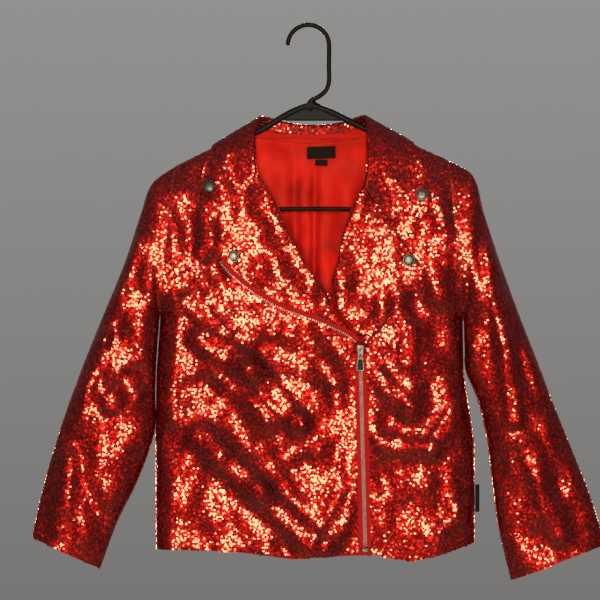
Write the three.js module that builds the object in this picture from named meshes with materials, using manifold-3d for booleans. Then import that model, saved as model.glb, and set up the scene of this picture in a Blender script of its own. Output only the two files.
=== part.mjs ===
// A sequin moto jacket on a moulded hanger. Millimetres, +Z up, front towards -Y.
// The origin is the inner top of the hanger's hook. Right and left are the wearer's.
import * as THREE from 'three';
import { mergeVertices } from 'three/addons/utils/BufferGeometryUtils.js';
import Module from 'manifold-3d';

const wasm = await Module();
wasm.setup();

// Driving dimensions
const CLOTH = 2.0;          // sequin cloth with its lining
const SATIN = 1.0;          // lining alone
const LAYER_GAP = 0.8;      // between layers that lie on each other inside the back
const SEAM = 0.3;           // clearance between pieces at a seam
const BODY_DEPTH = 31;      // half depth of the hanging body at mid length
const HEM_DEPTH = 25;       // half depth at the hem
const BACK_SHARE = 0.88;    // the back hangs flatter than the front
const SHOULDER_ROUND = 3.3; // half depth = SHOULDER_ROUND * sqrt(drop below the shoulder line)
const SIDE_ROUND = 4.6;     // the same for the distance from a side seam
const SHARPNESS = 3;        // how tightly the roundings meet the flat of the body
const FOLD_FADE = 16;       // half depth at which folds have their whole height
const CHAIN_WIDTH = 5.5;    // closed coil zip
const TAPE_WIDTH = 4.6;
const ZIP_CALM = 16;        // folds fade out this near the closed zip
const UNDERARM = { right: -348, left: -352 };
const SQUARE_ABOVE = 2;     // edges are square to the armhole this far above the underarm
const COLLAR_SEGMENTS = 36;

// Snaps: radius and height of the cap, width and height of its rim, width of its dome's slope
const SNAP = { radius: 7.5, height: 2.6, rim: 0.8, rimHeight: 1.5, slope: 2.4, slopeDrop: 0.4 };

// Hanger
const HOOK_RADIUS = 24.8;   // centre line of the hook
const HOOK_CENTRE_Z = -22;
const HOOK_ROD = 5.6;       // rod thickness
const ARM_THICK = 5.2;      // arms, front to back
const ARM_TALL = 7.4;
const BAR_TALL = 5.2;
const ARM_CLEAR = 1.55;     // below the cloth of the shoulder
const WEB_THICK = 3.4;

// Outlines seen from the front
const SHOULDER_LINE = [
  { x: -230, z: -202.5 },
  { x: -160, z: -167 },
  { x: -67, z: -120.5 },
  { x: 71, z: -115.8 },
  { x: 167, z: -159.5 },
  { x: 237, z: -190 },
];
const BACK_NECK = [
  { x: -66.5, z: -120.8 },
  { x: -40, z: -127.5 },
  { x: 2, z: -131 },
  { x: 44, z: -127.5 },
  { x: 70.5, z: -116.2 },
];
const RIGHT_SIDE = [
  { z: -629, x: -184 },
  { z: -500, x: -184.5 },
  { z: -413, x: -183 },
  { z: -348, x: -178.5 },
  { z: -167, x: -159.7 },
  { z: -100, x: -159.7 },
];
const LEFT_SIDE = [
  { z: -621, x: 200.6 },
  { z: -500, x: 200.2 },
  { z: -460, x: 194 },
  { z: -415, x: 187 },
  { z: -352, x: 186 },
  { z: -159.5, x: 166.7 },
  { z: -100, x: 166.7 },
];
const HEM_LINE = [
  { x: -184, z: -628 },
  { x: -82, z: -630 },
  { x: -42, z: -635 },
  { x: 17, z: -637 },
  { x: 65, z: -630 },
  { x: 90, z: -637 },
  { x: 125, z: -642 },
  { x: 157, z: -635 },
  { x: 201, z: -620 },
];
const BACK_HEM_LINE = [
  { x: -184, z: -628 },
  { x: -90, z: -634 },
  { x: -16, z: -643 },
  { x: 60, z: -638 },
  { x: 130, z: -636 },
  { x: 201, z: -620 },
];
const RIGHT_ROLL = [
  { z: -380, x: 54.5 },
  { z: -363, x: 45.5 },
  { z: -352, x: 36 },
  { z: -333, x: 28 },
  { z: -318, x: 21 },
  { z: -291.4, x: -2.5 },
  { z: -252.6, x: -21 },
  { z: -235.4, x: -33.2 },
  { z: -208.6, x: -44.3 },
  { z: -186.5, x: -57.7 },
  { z: -162, x: -63.8 },
  { z: -119, x: -65 },
];
const LEFT_ROLL = [
  { z: -384, x: 73 },
  { z: -362, x: 71 },
  { z: -350, x: 50 },
  { z: -343, x: 38 },
  { z: -333, x: 32 },
  { z: -314, x: 25 },
  { z: -293, x: 35.2 },
  { z: -266, x: 38.8 },
  { z: -248, x: 43.7 },
  { z: -229, x: 51 },
  { z: -211, x: 58.2 },
  { z: -186.5, x: 68.2 },
  { z: -150, x: 70.6 },
  { z: -119, x: 70 },
];
// Closed zip: top at the slider, bottom at the hem
const CHAIN = { topX: 61.8, topZ: -392, endX: 68, endZ: -626 };

// Largest folds of the front, as ridges between two points
const FRONT_FOLDS = [
  { x1: -128, z1: -376, x2: -66, z2: -413, rise: 6.5, width: 13 },
  { x1: -66, z1: -413, x2: -14, z2: -476, rise: 6.5, width: 13 },
  { x1: -14, z1: -476, x2: -11, z2: -506, rise: 4.5, width: 12 },
  { x1: -130, z1: -492, x2: -62, z2: -558, rise: 7.0, width: 14 },
  { x1: -62, z1: -558, x2: 11, z2: -626, rise: 6.5, width: 14 },
  { x1: 20, z1: -626, x2: 56, z2: -566, rise: 5.0, width: 12 },
  { x1: -166, z1: -335, x2: -168, z2: -470, rise: 4.0, width: 11 },
  { x1: -142, z1: -330, x2: -104, z2: -372, rise: 4.0, width: 11 },
  { x1: -118, z1: -216, x2: -124, z2: -270, rise: 4.0, width: 11 },
  { x1: -46, z1: -392, x2: 44, z2: -421, rise: -5.0, width: 16 },
  { x1: -130, z1: -440, x2: -60, z2: -500, rise: -5.0, width: 18 },
  { x1: 82, z1: -420, x2: 120, z2: -463, rise: 4.5, width: 11 },
  { x1: 86, z1: -499, x2: 146, z2: -509, rise: 4.5, width: 11 },
  { x1: 146, z1: -509, x2: 178, z2: -462, rise: 4.5, width: 11 },
  { x1: 164, z1: -604, x2: 196, z2: -577, rise: 4.0, width: 11 },
  { x1: 121, z1: -362, x2: 119, z2: -404, rise: 3.0, width: 11 },
  { x1: 152, z1: -200, x2: 158, z2: -325, rise: 3.0, width: 14 },
  { x1: -214, z1: -262, x2: -250, z2: -372, rise: 5.0, width: 12 },
  { x1: -250, z1: -372, x2: -282, z2: -470, rise: 4.5, width: 12 },
  { x1: -290, z1: -520, x2: -300, z2: -600, rise: 3.5, width: 12 },
  { x1: -206, z1: -420, x2: -236, z2: -452, rise: -4.0, width: 12 },
  { x1: 219, z1: -266, x2: 247, z2: -472, rise: 4.5, width: 10 },
  { x1: 247, z1: -328, x2: 284, z2: -440, rise: 4.5, width: 10 },
  { x1: 262, z1: -500, x2: 300, z2: -610, rise: 4.5, width: 12 },
];
const BACK_FOLDS = [
  { x1: -120, z1: -330, x2: -60, z2: -430, rise: 5.0, width: 16 },
  { x1: 118, z1: -320, x2: 60, z2: -440, rise: 5.0, width: 16 },
  { x1: -150, z1: -480, x2: -70, z2: -560, rise: 5.0, width: 15 },
  { x1: 150, z1: -470, x2: 80, z2: -590, rise: 5.0, width: 15 },
  { x1: 0, z1: -470, x2: 6, z2: -630, rise: 5.0, width: 16 },
  { x1: -222, z1: -280, x2: -262, z2: -420, rise: 4.0, width: 12 },
  { x1: -276, z1: -470, x2: -300, z2: -590, rise: 4.0, width: 12 },
  { x1: 232, z1: -280, x2: 270, z2: -420, rise: 4.0, width: 12 },
  { x1: 284, z1: -480, x2: 316, z2: -590, rise: 4.0, width: 12 },
];

// Sleeves, a row for each section from the armhole to the cuff
const RIGHT_SLEEVE = [
  { outX: -160.3, outZ: -167.6, inX: -179.2, inZ: -348.3, depth: 24 },
  { outX: -188, outZ: -188.5, inX: -181, inZ: -353, depth: 25 },
  { outX: -203, outZ: -228, inX: -183, inZ: -362, depth: 25 },
  { outX: -220, outZ: -280, inX: -185, inZ: -378, depth: 24 },
  { outX: -243.5, outZ: -338, inX: -186.4, inZ: -405, depth: 23 },
  { outX: -266, outZ: -393, inX: -187.4, inZ: -440, depth: 22 },
  { outX: -287.5, outZ: -450, inX: -189, inZ: -488, depth: 21 },
  { outX: -306, outZ: -506, inX: -206, inZ: -547, depth: 20 },
  { outX: -322, outZ: -563, inX: -230, inZ: -596, depth: 18 },
  { outX: -333, outZ: -614, inX: -250.8, inZ: -652, depth: 15 },
];
const LEFT_SLEEVE = [
  { outX: 167.3, outZ: -160.1, inX: 186.6, inZ: -352.3, depth: 24 },
  { outX: 197, outZ: -178, inX: 188.6, inZ: -357, depth: 25 },
  { outX: 212, outZ: -226, inX: 189.6, inZ: -368, depth: 25 },
  { outX: 230.5, outZ: -282, inX: 190.4, inZ: -386, depth: 24 },
  { outX: 254, outZ: -347, inX: 192.4, inZ: -415, depth: 23 },
  { outX: 276, outZ: -403, inX: 203, inZ: -448, depth: 22 },
  { outX: 297, outZ: -458, inX: 214.6, inZ: -497, depth: 21 },
  { outX: 318, outZ: -510, inX: 221, inZ: -548, depth: 20 },
  { outX: 338, outZ: -560, inX: 229, inZ: -604, depth: 19 },
  { outX: 357.5, outZ: -622, inX: 243.7, inZ: -666, depth: 17 },
];

// Lapels, a row for each section from the gorge to the slider
const RIGHT_LAPEL = [
  { rollX: -61.6, rollZ: -180.2, edgeX: -83.2, edgeZ: -223.6 },
  { rollX: -52, rollZ: -196, edgeX: -96.5, edgeZ: -250.5 },
  { rollX: -42.8, rollZ: -211, edgeX: -108, edgeZ: -273.4 },
  { rollX: -35.4, rollZ: -229, edgeX: -95.4, edgeZ: -282.8 },
  { rollX: -26.6, rollZ: -246, edgeX: -83.2, edgeZ: -297.8 },
  { rollX: -17, rollZ: -263, edgeX: -56.8, edgeZ: -317.8 },
  { rollX: -4.5, rollZ: -288, edgeX: -30.4, edgeZ: -332.4 },
  { rollX: 14, rollZ: -313, edgeX: -3, edgeZ: -342.6 },
  { rollX: 26, rollZ: -335, edgeX: 18, edgeZ: -350.4 },
  { rollX: 36, rollZ: -352.4, edgeX: 34, edgeZ: -357.4 },
];
const LEFT_LAPEL = [
  { rollX: 65.5, rollZ: -195, edgeX: 96, edgeZ: -239.4 },
  { rollX: 57.4, rollZ: -214, edgeX: 116, edgeZ: -264 },
  { rollX: 50.6, rollZ: -231, edgeX: 134.6, edgeZ: -288 },
  { rollX: 44.6, rollZ: -247, edgeX: 130.4, edgeZ: -302 },
  { rollX: 40.2, rollZ: -265, edgeX: 120, edgeZ: -311 },
  { rollX: 37.4, rollZ: -284, edgeX: 111, edgeZ: -321.6 },
  { rollX: 31, rollZ: -305, edgeX: 100, edgeZ: -340 },
  { rollX: 36, rollZ: -337, edgeX: 89.6, edgeZ: -359 },
  { rollX: 53, rollZ: -362, edgeX: 77.6, edgeZ: -372 },
  { rollX: 63.4, rollZ: -378, edgeX: 69.5, edgeZ: -381 },
];
// Outer edge of the right lapel, where the open half of the zip is sewn
const HALF_ZIP = [
  { x: -107.2, z: -283 },
  { x: -102.6, z: -290 },
  { x: -88.9, z: -304 },
  { x: -61, z: -325 },
  { x: -33.7, z: -340 },
  { x: -6, z: -350 },
  { x: 21.4, z: -360.5 },
  { x: 40, z: -369 },
  { x: 50, z: -375 },
  { x: 56, z: -380.6 },
];

const SNAPS = [
  { name: 'snap_collar_right', x: -119.3, z: -192.4, on: 'collar' },
  { name: 'snap_lapel_right', x: -90.4, z: -276.8, on: 'lapel' },
  { name: 'snap_collar_left', x: 135.5, z: -202.8, on: 'collar' },
  { name: 'snap_lapel_left', x: 120.1, z: -281.2, on: 'lapel' },
];

// Hanger: the hook's stem below its arc, both arms from the stem, both ends down to the bar
const HOOK_STEM = [
  { x: 24.6, z: -45 },
  { x: 24.4, z: -68 },
  { x: 21, z: -76.5 },
  { x: 12, z: -84 },
  { x: 3, z: -89 },
  { x: 2, z: -100 },
];
const RIGHT_ARM = {
  neck: [{ x: 6, z: -92 }, { x: -20, z: -102 }, { x: -57, z: -123.8 }],
  shoulder: [-74, -110, -158],
  turn: [-150, -160],
  bar: [
    { x: -172, z: -184 },
    { x: -173, z: -200 },
    { x: -160, z: -216 },
    { x: -130, z: -219 },
    { x: 10, z: -219 },
  ],
};
const LEFT_ARM = {
  neck: [{ x: -2, z: -92 }, { x: 24, z: -101 }, { x: 62, z: -119.4 }],
  shoulder: [78, 120, 166],
  turn: [158, 168],
  bar: [
    { x: 181, z: -178 },
    { x: 183, z: -196 },
    { x: 170, z: -214 },
    { x: 140, z: -218.5 },
    { x: 0, z: -219 },
  ],
};
const HANGER_WEB = [
  { x: 0, z: -90 },
  { x: -36, z: -109.5 },
  { x: -26, z: -113 },
  { x: 46, z: -113 },
  { x: 54, z: -112.5 },
  { x: 8, z: -90 },
];

// Labels on the lining, seen from the front
const NECK_LABEL = { x1: -1.8, x2: 32.6, z1: -158, z2: -143.5, tilt: 1.2 };
const SIZE_TAB = { x1: 8, x2: 23, z1: -166.5, z2: -159.2 };
const LABEL_THICK = 0.8;
// Folded tab in the left side seam
const SIDE_TAB = { width: 5, thick: 1.2, length: 33, x: 203.5, z: -567.5 };

// Finishes
const finish = (color, roughness, metalness) =>
  new THREE.MeshStandardMaterial({ color, roughness, metalness });
const SEQUIN = () => finish(0x9c0a12, 0.28, 0.75);
const LINING = () => finish(0xd8231c, 0.45, 0.0);
const ZIP_TAPE = () => finish(0xc4101a, 0.8, 0.0);
const NICKEL = () => finish(0xb9b4b2, 0.3, 1.0);
const BLACK_PLASTIC = () => finish(0x111113, 0.35, 0.0);
const BLACK_LABEL = () => finish(0x17171a, 0.6, 0.0);

const jacket = new THREE.Group();

function add(name, geometry, material) {
  const mesh = new THREE.Mesh(geometry, material);
  mesh.name = name;
  jacket.add(mesh);
  return mesh;
}

// Value of column `to` at `value` of column `from` in a table sorted by `from`
function lookUp(table, from, to, value) {
  const last = table.length - 2;
  let k = 0;
  while (k < last && value > table[k + 1][from]) {
    k += 1;
  }
  const a = table[k];
  const b = table[k + 1];
  const t = (value - a[from]) / (b[from] - a[from]);
  return a[to] + (b[to] - a[to]) * THREE.MathUtils.clamp(t, 0, 1);
}

// Row of a table at a share t of its length, every column interpolated
function rowAt(table, t) {
  const at = THREE.MathUtils.clamp(t, 0, 1) * (table.length - 1);
  const k = Math.min(Math.floor(at), table.length - 2);
  const row = {};
  for (const column of Object.keys(table[0])) {
    row[column] = THREE.MathUtils.lerp(table[k][column], table[k + 1][column], at - k);
  }
  return row;
}

const shoulderAt = (x) => lookUp(SHOULDER_LINE, 'x', 'z', x);

// Distance from a point to the side seam below the underarm
function sideDistance(side, underarm, x, z) {
  const edge = lookUp(side, 'z', 'x', Math.min(z, underarm));
  return Math.hypot(x - edge, Math.max(z - underarm, 0));
}

// Half depth of the hanging jacket at a place of its front view
function halfDepth(x, z) {
  const drop = Math.max(shoulderAt(x) - z, 0);
  const rightSide = sideDistance(RIGHT_SIDE, UNDERARM.right, x, z);
  const leftSide = sideDistance(LEFT_SIDE, UNDERARM.left, x, z);
  const low = THREE.MathUtils.smoothstep(-z, 380, 640);
  const flat = THREE.MathUtils.lerp(BODY_DEPTH, HEM_DEPTH, low);
  const limits = [
    SHOULDER_ROUND * Math.sqrt(drop),
    SIDE_ROUND * Math.sqrt(rightSide),
    SIDE_ROUND * Math.sqrt(leftSide),
    flat,
  ];
  let sum = 0;
  for (const limit of limits) {
    sum += Math.max(limit, 1e-6) ** -SHARPNESS;
  }
  return sum ** (-1 / SHARPNESS);
}

// Height of the ridges and troughs of a fold table at a place of the front view
function foldHeight(table, x, z) {
  let height = 0;
  for (const fold of table) {
    const dx = fold.x2 - fold.x1;
    const dz = fold.z2 - fold.z1;
    const along = ((x - fold.x1) * dx + (z - fold.z1) * dz) / (dx * dx + dz * dz);
    const t = THREE.MathUtils.clamp(along, 0, 1);
    const away = Math.hypot(x - fold.x1 - dx * t, z - fold.z1 - dz * t);
    height += fold.rise * Math.exp(-((away / fold.width) ** 2));
  }
  return height;
}

const chainX = (z) => {
  const t = (z - CHAIN.topZ) / (CHAIN.endZ - CHAIN.topZ);
  return THREE.MathUtils.lerp(CHAIN.topX, CHAIN.endX, THREE.MathUtils.clamp(t, 0, 1));
};

const HALF_SEAM = SEAM / 2;
const CALM_BELOW = -370; // the front is calm beside the zip below this height

function frontDepth(x, z) {
  const depth = halfDepth(x, z);
  const fade = Math.min(depth / FOLD_FADE, 1);
  const nearZip = z < CALM_BELOW ? Math.exp(-(((x - chainX(z)) / ZIP_CALM) ** 2)) : 0;
  return HALF_SEAM + depth + foldHeight(FRONT_FOLDS, x, z) * fade * (1 - nearZip);
}

function backDepth(x, z) {
  const depth = halfDepth(x, z);
  const fade = Math.min(depth / FOLD_FADE, 1);
  return HALF_SEAM + depth * BACK_SHARE + foldHeight(BACK_FOLDS, x, z) * fade;
}

// A point lifted off the front or back of the body
const onFront = (x, z, lift = 0) => new THREE.Vector3(x, -frontDepth(x, z) - lift, z);
const onBack = (x, z, lift = 0) => new THREE.Vector3(x, backDepth(x, z) + lift, z);

// Closed wall between a surface and the same surface moved along its normal.
// surface(u, v) gives points for u, v in 0..1; depths from `near` to `far` lie behind it.
function wall({ surface, columns, rows, near = 0, far = CLOTH, flipped = false, trim }) {
  const h = 1e-3;
  const positions = [];
  const side = (columns + 1) * (rows + 1);
  const normalAt = (u, v) => {
    const u0 = Math.max(u - h, 0);
    const v0 = Math.max(v - h, 0);
    const u1 = Math.min(u + h, 1);
    const v1 = Math.min(v + h, 1);
    const du = surface(u1, v).sub(surface(u0, v));
    const dv = surface(u, v1).sub(surface(u, v0));
    const normal = du.cross(dv).normalize();
    if (flipped) {
      normal.negate();
    }
    return trim ? trim(normal, u, v) : normal;
  };
  const layers = [near, far];
  for (const depth of layers) {
    for (let j = 0; j <= rows; j += 1) {
      for (let i = 0; i <= columns; i += 1) {
        const u = i / columns;
        const v = j / rows;
        const point = surface(u, v).addScaledVector(normalAt(u, v), -depth);
        positions.push(point.x, point.y, point.z);
      }
    }
  }
  const index = [];
  const at = (i, j, layer) => layer * side + j * (columns + 1) + i;
  const quad = (a, b, c, d) => index.push(a, b, c, a, c, d);
  for (let j = 0; j < rows; j += 1) {
    for (let i = 0; i < columns; i += 1) {
      quad(at(i, j, 0), at(i + 1, j, 0), at(i + 1, j + 1, 0), at(i, j + 1, 0));
      quad(at(i, j, 1), at(i, j + 1, 1), at(i + 1, j + 1, 1), at(i + 1, j, 1));
    }
  }
  for (let i = 0; i < columns; i += 1) {
    quad(at(i, 0, 0), at(i, 0, 1), at(i + 1, 0, 1), at(i + 1, 0, 0));
    quad(at(i, rows, 0), at(i + 1, rows, 0), at(i + 1, rows, 1), at(i, rows, 1));
  }
  for (let j = 0; j < rows; j += 1) {
    quad(at(0, j, 0), at(0, j + 1, 0), at(0, j + 1, 1), at(0, j, 1));
    quad(at(columns, j, 0), at(columns, j, 1), at(columns, j + 1, 1), at(columns, j + 1, 0));
  }
  return facingOut(positions, index);
}

// Indexed geometry whose faces point out
function facingOut(positions, index) {
  let volume = 0;
  const point = (k) => new THREE.Vector3().fromArray(positions, index[k] * 3);
  for (let k = 0; k < index.length; k += 3) {
    volume += point(k).dot(point(k + 1).cross(point(k + 2)));
  }
  if (volume < 0) {
    for (let k = 0; k < index.length; k += 3) {
      [index[k + 1], index[k + 2]] = [index[k + 2], index[k + 1]];
    }
  }
  const geometry = new THREE.BufferGeometry();
  geometry.setAttribute('position', new THREE.Float32BufferAttribute(positions, 3));
  geometry.setIndex(index);
  geometry.computeVertexNormals();
  return geometry;
}

// Body panels: u runs from the side to the other edge, v from the hem to the top.
// Both are eased so that the rounded sides and shoulders get more sections.
const easeBoth = (u) => (1 - Math.cos(Math.PI * u)) / 2;
const easeStart = (u) => 1 - Math.cos((Math.PI * u) / 2);
const easeEnd = (v) => Math.sin((Math.PI * v) / 2);

function panelPlace({ from, to, hem, top, share, v }) {
  const xAt = (z) => THREE.MathUtils.lerp(from(z), to(z), share);
  let low = -630;
  let high = -150;
  for (let pass = 0; pass < 12; pass += 1) {
    low = hem(xAt(low));
    high = top(xAt(high));
  }
  const z = THREE.MathUtils.lerp(low, high, easeEnd(v));
  return { x: xAt(z), z };
}

// At an armhole the edge is square to the seam, so that body and sleeve stay apart
const SHOULDER_TIP_Z = -163.5;
function squareTo(table, underarm) {
  const under = lookUp(table, 'z', 'x', underarm);
  const tip = lookUp(table, 'z', 'x', SHOULDER_TIP_Z);
  const along = new THREE.Vector3(tip - under, 0, SHOULDER_TIP_Z - underarm).normalize();
  return new THREE.Vector3(along.z, 0, -along.x);
}
const RIGHT_SQUARE = squareTo(RIGHT_SIDE, UNDERARM.right);
const LEFT_SQUARE = squareTo(LEFT_SIDE, UNDERARM.left);

function flattenAlong(normal, direction) {
  return normal.addScaledVector(direction, -normal.dot(direction)).normalize();
}

const rightEdge = (z) => lookUp(RIGHT_SIDE, 'z', 'x', z);
const leftEdge = (z) => lookUp(LEFT_SIDE, 'z', 'x', z);
const hemAt = (x) => lookUp(HEM_LINE, 'x', 'z', x);
const backHemAt = (x) => lookUp(BACK_HEM_LINE, 'x', 'z', x);
const TAPE_ROOM = CHAIN_WIDTH / 2 + SEAM + TAPE_WIDTH + 2 * SEAM;

function makeBack() {
  const [first, last] = [BACK_NECK[0], BACK_NECK[BACK_NECK.length - 1]];
  const top = (x) =>
    (x > first.x && x < last.x ? lookUp(BACK_NECK, 'x', 'z', x) : shoulderAt(x));
  const place = (u, v) =>
    panelPlace({ from: rightEdge, to: leftEdge, hem: backHemAt, top, share: easeBoth(u), v });
  const surface = (u, v) => {
    const { x, z } = place(u, v);
    return onBack(x, z);
  };
  const trim = (normal, u, v) => {
    const { z } = place(u, v);
    if (u === 0 && z > UNDERARM.right + SQUARE_ABOVE) {
      return flattenAlong(normal, RIGHT_SQUARE);
    }
    const atLeft = u === 1 && z > UNDERARM.left + SQUARE_ABOVE;
    return atLeft ? flattenAlong(normal, LEFT_SQUARE) : normal;
  };
  add('back_panel', wall({ surface, columns: 24, rows: 20, flipped: true, trim }), SEQUIN());
}

function makeFront(name, { side, inner, square, underarm, columns, flipped }) {
  const place = (u, v) =>
    panelPlace({ from: side, to: inner, hem: hemAt, top: shoulderAt, share: easeStart(u), v });
  const surface = (u, v) => {
    const { x, z } = place(u, v);
    return onFront(x, z);
  };
  const trim = (normal, u, v) => {
    const { z } = place(u, v);
    return u === 0 && z > underarm + SQUARE_ABOVE ? flattenAlong(normal, square) : normal;
  };
  add(name, wall({ surface, columns, rows: 20, flipped, trim }), SEQUIN());
}

function makeFronts() {
  const rightInner = (z) =>
    (z > RIGHT_ROLL[0].z ? lookUp(RIGHT_ROLL, 'z', 'x', z) : chainX(z) - TAPE_ROOM);
  const leftInner = (z) =>
    (z > LEFT_ROLL[0].z ? lookUp(LEFT_ROLL, 'z', 'x', z) : chainX(z) + TAPE_ROOM);
  makeFront('front_right', {
    side: rightEdge,
    inner: rightInner,
    square: RIGHT_SQUARE,
    underarm: UNDERARM.right,
    columns: 19,
    flipped: false,
  });
  makeFront('front_left', {
    side: leftEdge,
    inner: leftInner,
    square: LEFT_SQUARE,
    underarm: UNDERARM.left,
    columns: 17,
    flipped: true,
  });
}

// Sleeves: u runs round from the outer to the inner edge, v from the armhole to the cuff.
// start and end are the shares of the sleeve's length between which a piece lies.
const SLEEVE_BLEND = 0.22;
const SLEEVE_ROWS = 18;
const ELBOW = 0.5;
const ELBOW_GAP = 0.0008;     // share of the sleeve's length, about 0.3 mm

function makeSleevePiece(name, { table, back, square, flipped, start = 0, end = 1 }) {
  const folds = back ? BACK_FOLDS : FRONT_FOLDS;
  const share = back ? BACK_SHARE : 1;
  const surface = (u, along) => {
    const v = THREE.MathUtils.lerp(start, end, along);
    const angle = Math.PI * u;
    const across = (1 - Math.cos(angle)) / 2;
    const row = rowAt(table, v);
    const x = THREE.MathUtils.lerp(row.outX, row.inX, across);
    const z = THREE.MathUtils.lerp(row.outZ, row.inZ, across);
    const seamed = halfDepth(x, z) * share;
    const tube = row.depth * Math.sin(angle) * share;
    const blend = THREE.MathUtils.smoothstep(v, 0, SLEEVE_BLEND);
    const fold = foldHeight(folds, x, z) * Math.min(tube / FOLD_FADE, 1);
    const depth = HALF_SEAM + THREE.MathUtils.lerp(seamed, tube, blend) + fold * blend;
    return new THREE.Vector3(x, back ? depth : -depth, z);
  };
  const trim = (normal, u, along) => {
    if (start === 0 && along === 0) {
      flattenAlong(normal, square);
    }
    if (u === 0 || u === 1) {
      normal.setY(0).normalize();
    }
    return normal;
  };
  const rows = Math.round(SLEEVE_ROWS * (end - start));
  add(name, wall({ surface, columns: 8, rows, flipped, trim }), SEQUIN());
}

function makeSleeves() {
  const right = { table: RIGHT_SLEEVE, square: RIGHT_SQUARE };
  const left = { table: LEFT_SLEEVE, square: LEFT_SQUARE };
  const upper = { end: ELBOW };
  const lower = { start: ELBOW + ELBOW_GAP };
  makeSleevePiece('sleeve_right_front', { ...right, back: false, flipped: true });
  makeSleevePiece('sleeve_right_back', { ...right, back: true, flipped: false });
  for (const [name, piece] of [['upper', upper], ['lower', lower]]) {
    makeSleevePiece(`sleeve_left_front_${name}`, { ...left, ...piece, back: false, flipped: false });
    makeSleevePiece(`sleeve_left_back_${name}`, { ...left, ...piece, back: true, flipped: true });
  }
}

// Collar: a row for each section, from the right gorge round the back to the left gorge.
// seam is the neck seam, fold the top of the stand, edge the outer edge of the leaf;
// drop lets the leaf's middle hang down to the gorge.
const at = (x, y, z) => new THREE.Vector3(x, y, z);
const SEAM_LIFT = 0.5;
const LEAF_LIFT = 3;          // outer face of the leaf above the body
const EDGE_LIFT = 2.6;
const COLLAR = [
  {
    seam: onFront(-66, -180, SEAM_LIFT),
    fold: onFront(-62, -178.6, LEAF_LIFT),
    edge: onFront(-129, -197.5, EDGE_LIFT),
    drop: 37,
  },
  {
    seam: onFront(-68, -168, SEAM_LIFT),
    fold: onFront(-63.4, -167, LEAF_LIFT),
    edge: onFront(-129.4, -191, EDGE_LIFT),
    drop: 19,
  },
  {
    seam: onFront(-69, -150, SEAM_LIFT),
    fold: onFront(-64, -148, LEAF_LIFT),
    edge: onFront(-126, -171, EDGE_LIFT),
    drop: 4,
  },
  {
    seam: at(-68.5, -12.5, -131),
    fold: at(-63.5, -15, -127),
    edge: onFront(-119, -153.5, EDGE_LIFT),
    drop: 0,
  },
  {
    seam: at(-64.5, -1.5, -119.4),
    fold: at(-57.5, -3, -109.8),
    edge: at(-112.6, 0, -139.8),
    drop: 0,
  },
  {
    seam: at(-57, 5.6, -120.6),
    fold: at(-49, 7.5, -108.4),
    edge: onBack(-101, -156, EDGE_LIFT),
    drop: 0,
  },
  {
    seam: at(-34, 7.6, -126.4),
    fold: at(-30, 10.4, -113.5),
    edge: onBack(-66, -174, EDGE_LIFT),
    drop: 0,
  },
  {
    seam: at(2, 7.7, -129.8),
    fold: at(2, 11.2, -117),
    edge: onBack(2, -181, EDGE_LIFT),
    drop: 0,
  },
  {
    seam: at(38, 7.6, -125.9),
    fold: at(38, 10.4, -114.5),
    edge: onBack(72, -174, EDGE_LIFT),
    drop: 0,
  },
  {
    seam: at(61, 5.6, -119),
    fold: at(58, 7.5, -108.4),
    edge: onBack(110, -158, EDGE_LIFT),
    drop: 0,
  },
  {
    seam: at(69, -1.5, -114.6),
    fold: at(66.5, -3, -107.8),
    edge: at(123.4, 0, -136.2),
    drop: 0,
  },
  {
    seam: at(73, -13.5, -128),
    fold: at(69.5, -16, -126),
    edge: onFront(131, -156, EDGE_LIFT),
    drop: 0,
  },
  {
    seam: onFront(74.5, -152, SEAM_LIFT),
    fold: onFront(70.6, -152, LEAF_LIFT),
    edge: onFront(139, -178, EDGE_LIFT),
    drop: 4,
  },
  {
    seam: onFront(74, -174, SEAM_LIFT),
    fold: onFront(70, -173, LEAF_LIFT),
    edge: onFront(146, -200, EDGE_LIFT),
    drop: 18,
  },
  {
    seam: onFront(70, -194.5, SEAM_LIFT),
    fold: onFront(66, -193.4, LEAF_LIFT),
    edge: onFront(147.4, -211, EDGE_LIFT),
    drop: 33,
  },
];
const COLLAR_FOLD_HALF = 2.7; // half width of the turned fold
const COLLAR_FOLD_DROP = 0.8; // the fold's sides lie this much lower for each mm sideways
const COLLAR_DIP = 0.36;      // share of the leaf at which the gorge meets the lapel

function collarSection(t) {
  const curves = {};
  for (const key of ['seam', 'fold', 'edge']) {
    curves[key] = new THREE.CatmullRomCurve3(COLLAR.map((row) => row[key]), false, 'centripetal');
  }
  const seam = curves.seam.getPoint(t);
  const fold = curves.fold.getPoint(t);
  const edge = curves.edge.getPoint(t);
  const { drop } = rowAt(COLLAR.map((row) => ({ drop: row.drop })), t);
  const middle = seam.clone().add(edge).multiplyScalar(0.5);
  const up = fold.clone().sub(middle).normalize();
  const out = edge.clone().sub(seam);
  out.addScaledVector(up, -out.dot(up)).normalize();
  const shift = (sideways) =>
    fold.clone().addScaledVector(out, sideways)
      .addScaledVector(up, -Math.abs(sideways) * COLLAR_FOLD_DROP);
  const leaf = (q) => {
    const point = shift(COLLAR_FOLD_HALF).lerp(edge, q);
    const dip = q < COLLAR_DIP ? q / COLLAR_DIP : (1 - q) / (1 - COLLAR_DIP);
    point.z -= drop * dip;
    if (point.z < shoulderAt(point.x) + LEAF_LIFT) {
      const front = frontDepth(point.x, point.z - LEAF_LIFT) + LEAF_LIFT;
      const back = backDepth(point.x, point.z - LEAF_LIFT) + LEAF_LIFT;
      point.y = point.y < 0 ? Math.min(point.y, -front) : Math.max(point.y, back);
    }
    return point;
  };
  return [
    seam,
    seam.clone().lerp(shift(-COLLAR_FOLD_HALF), 0.5),
    shift(-COLLAR_FOLD_HALF),
    fold,
    shift(COLLAR_FOLD_HALF),
    leaf(0.18),
    leaf(COLLAR_DIP),
    leaf(0.55),
    leaf(0.78),
    leaf(1),
  ];
}

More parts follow.
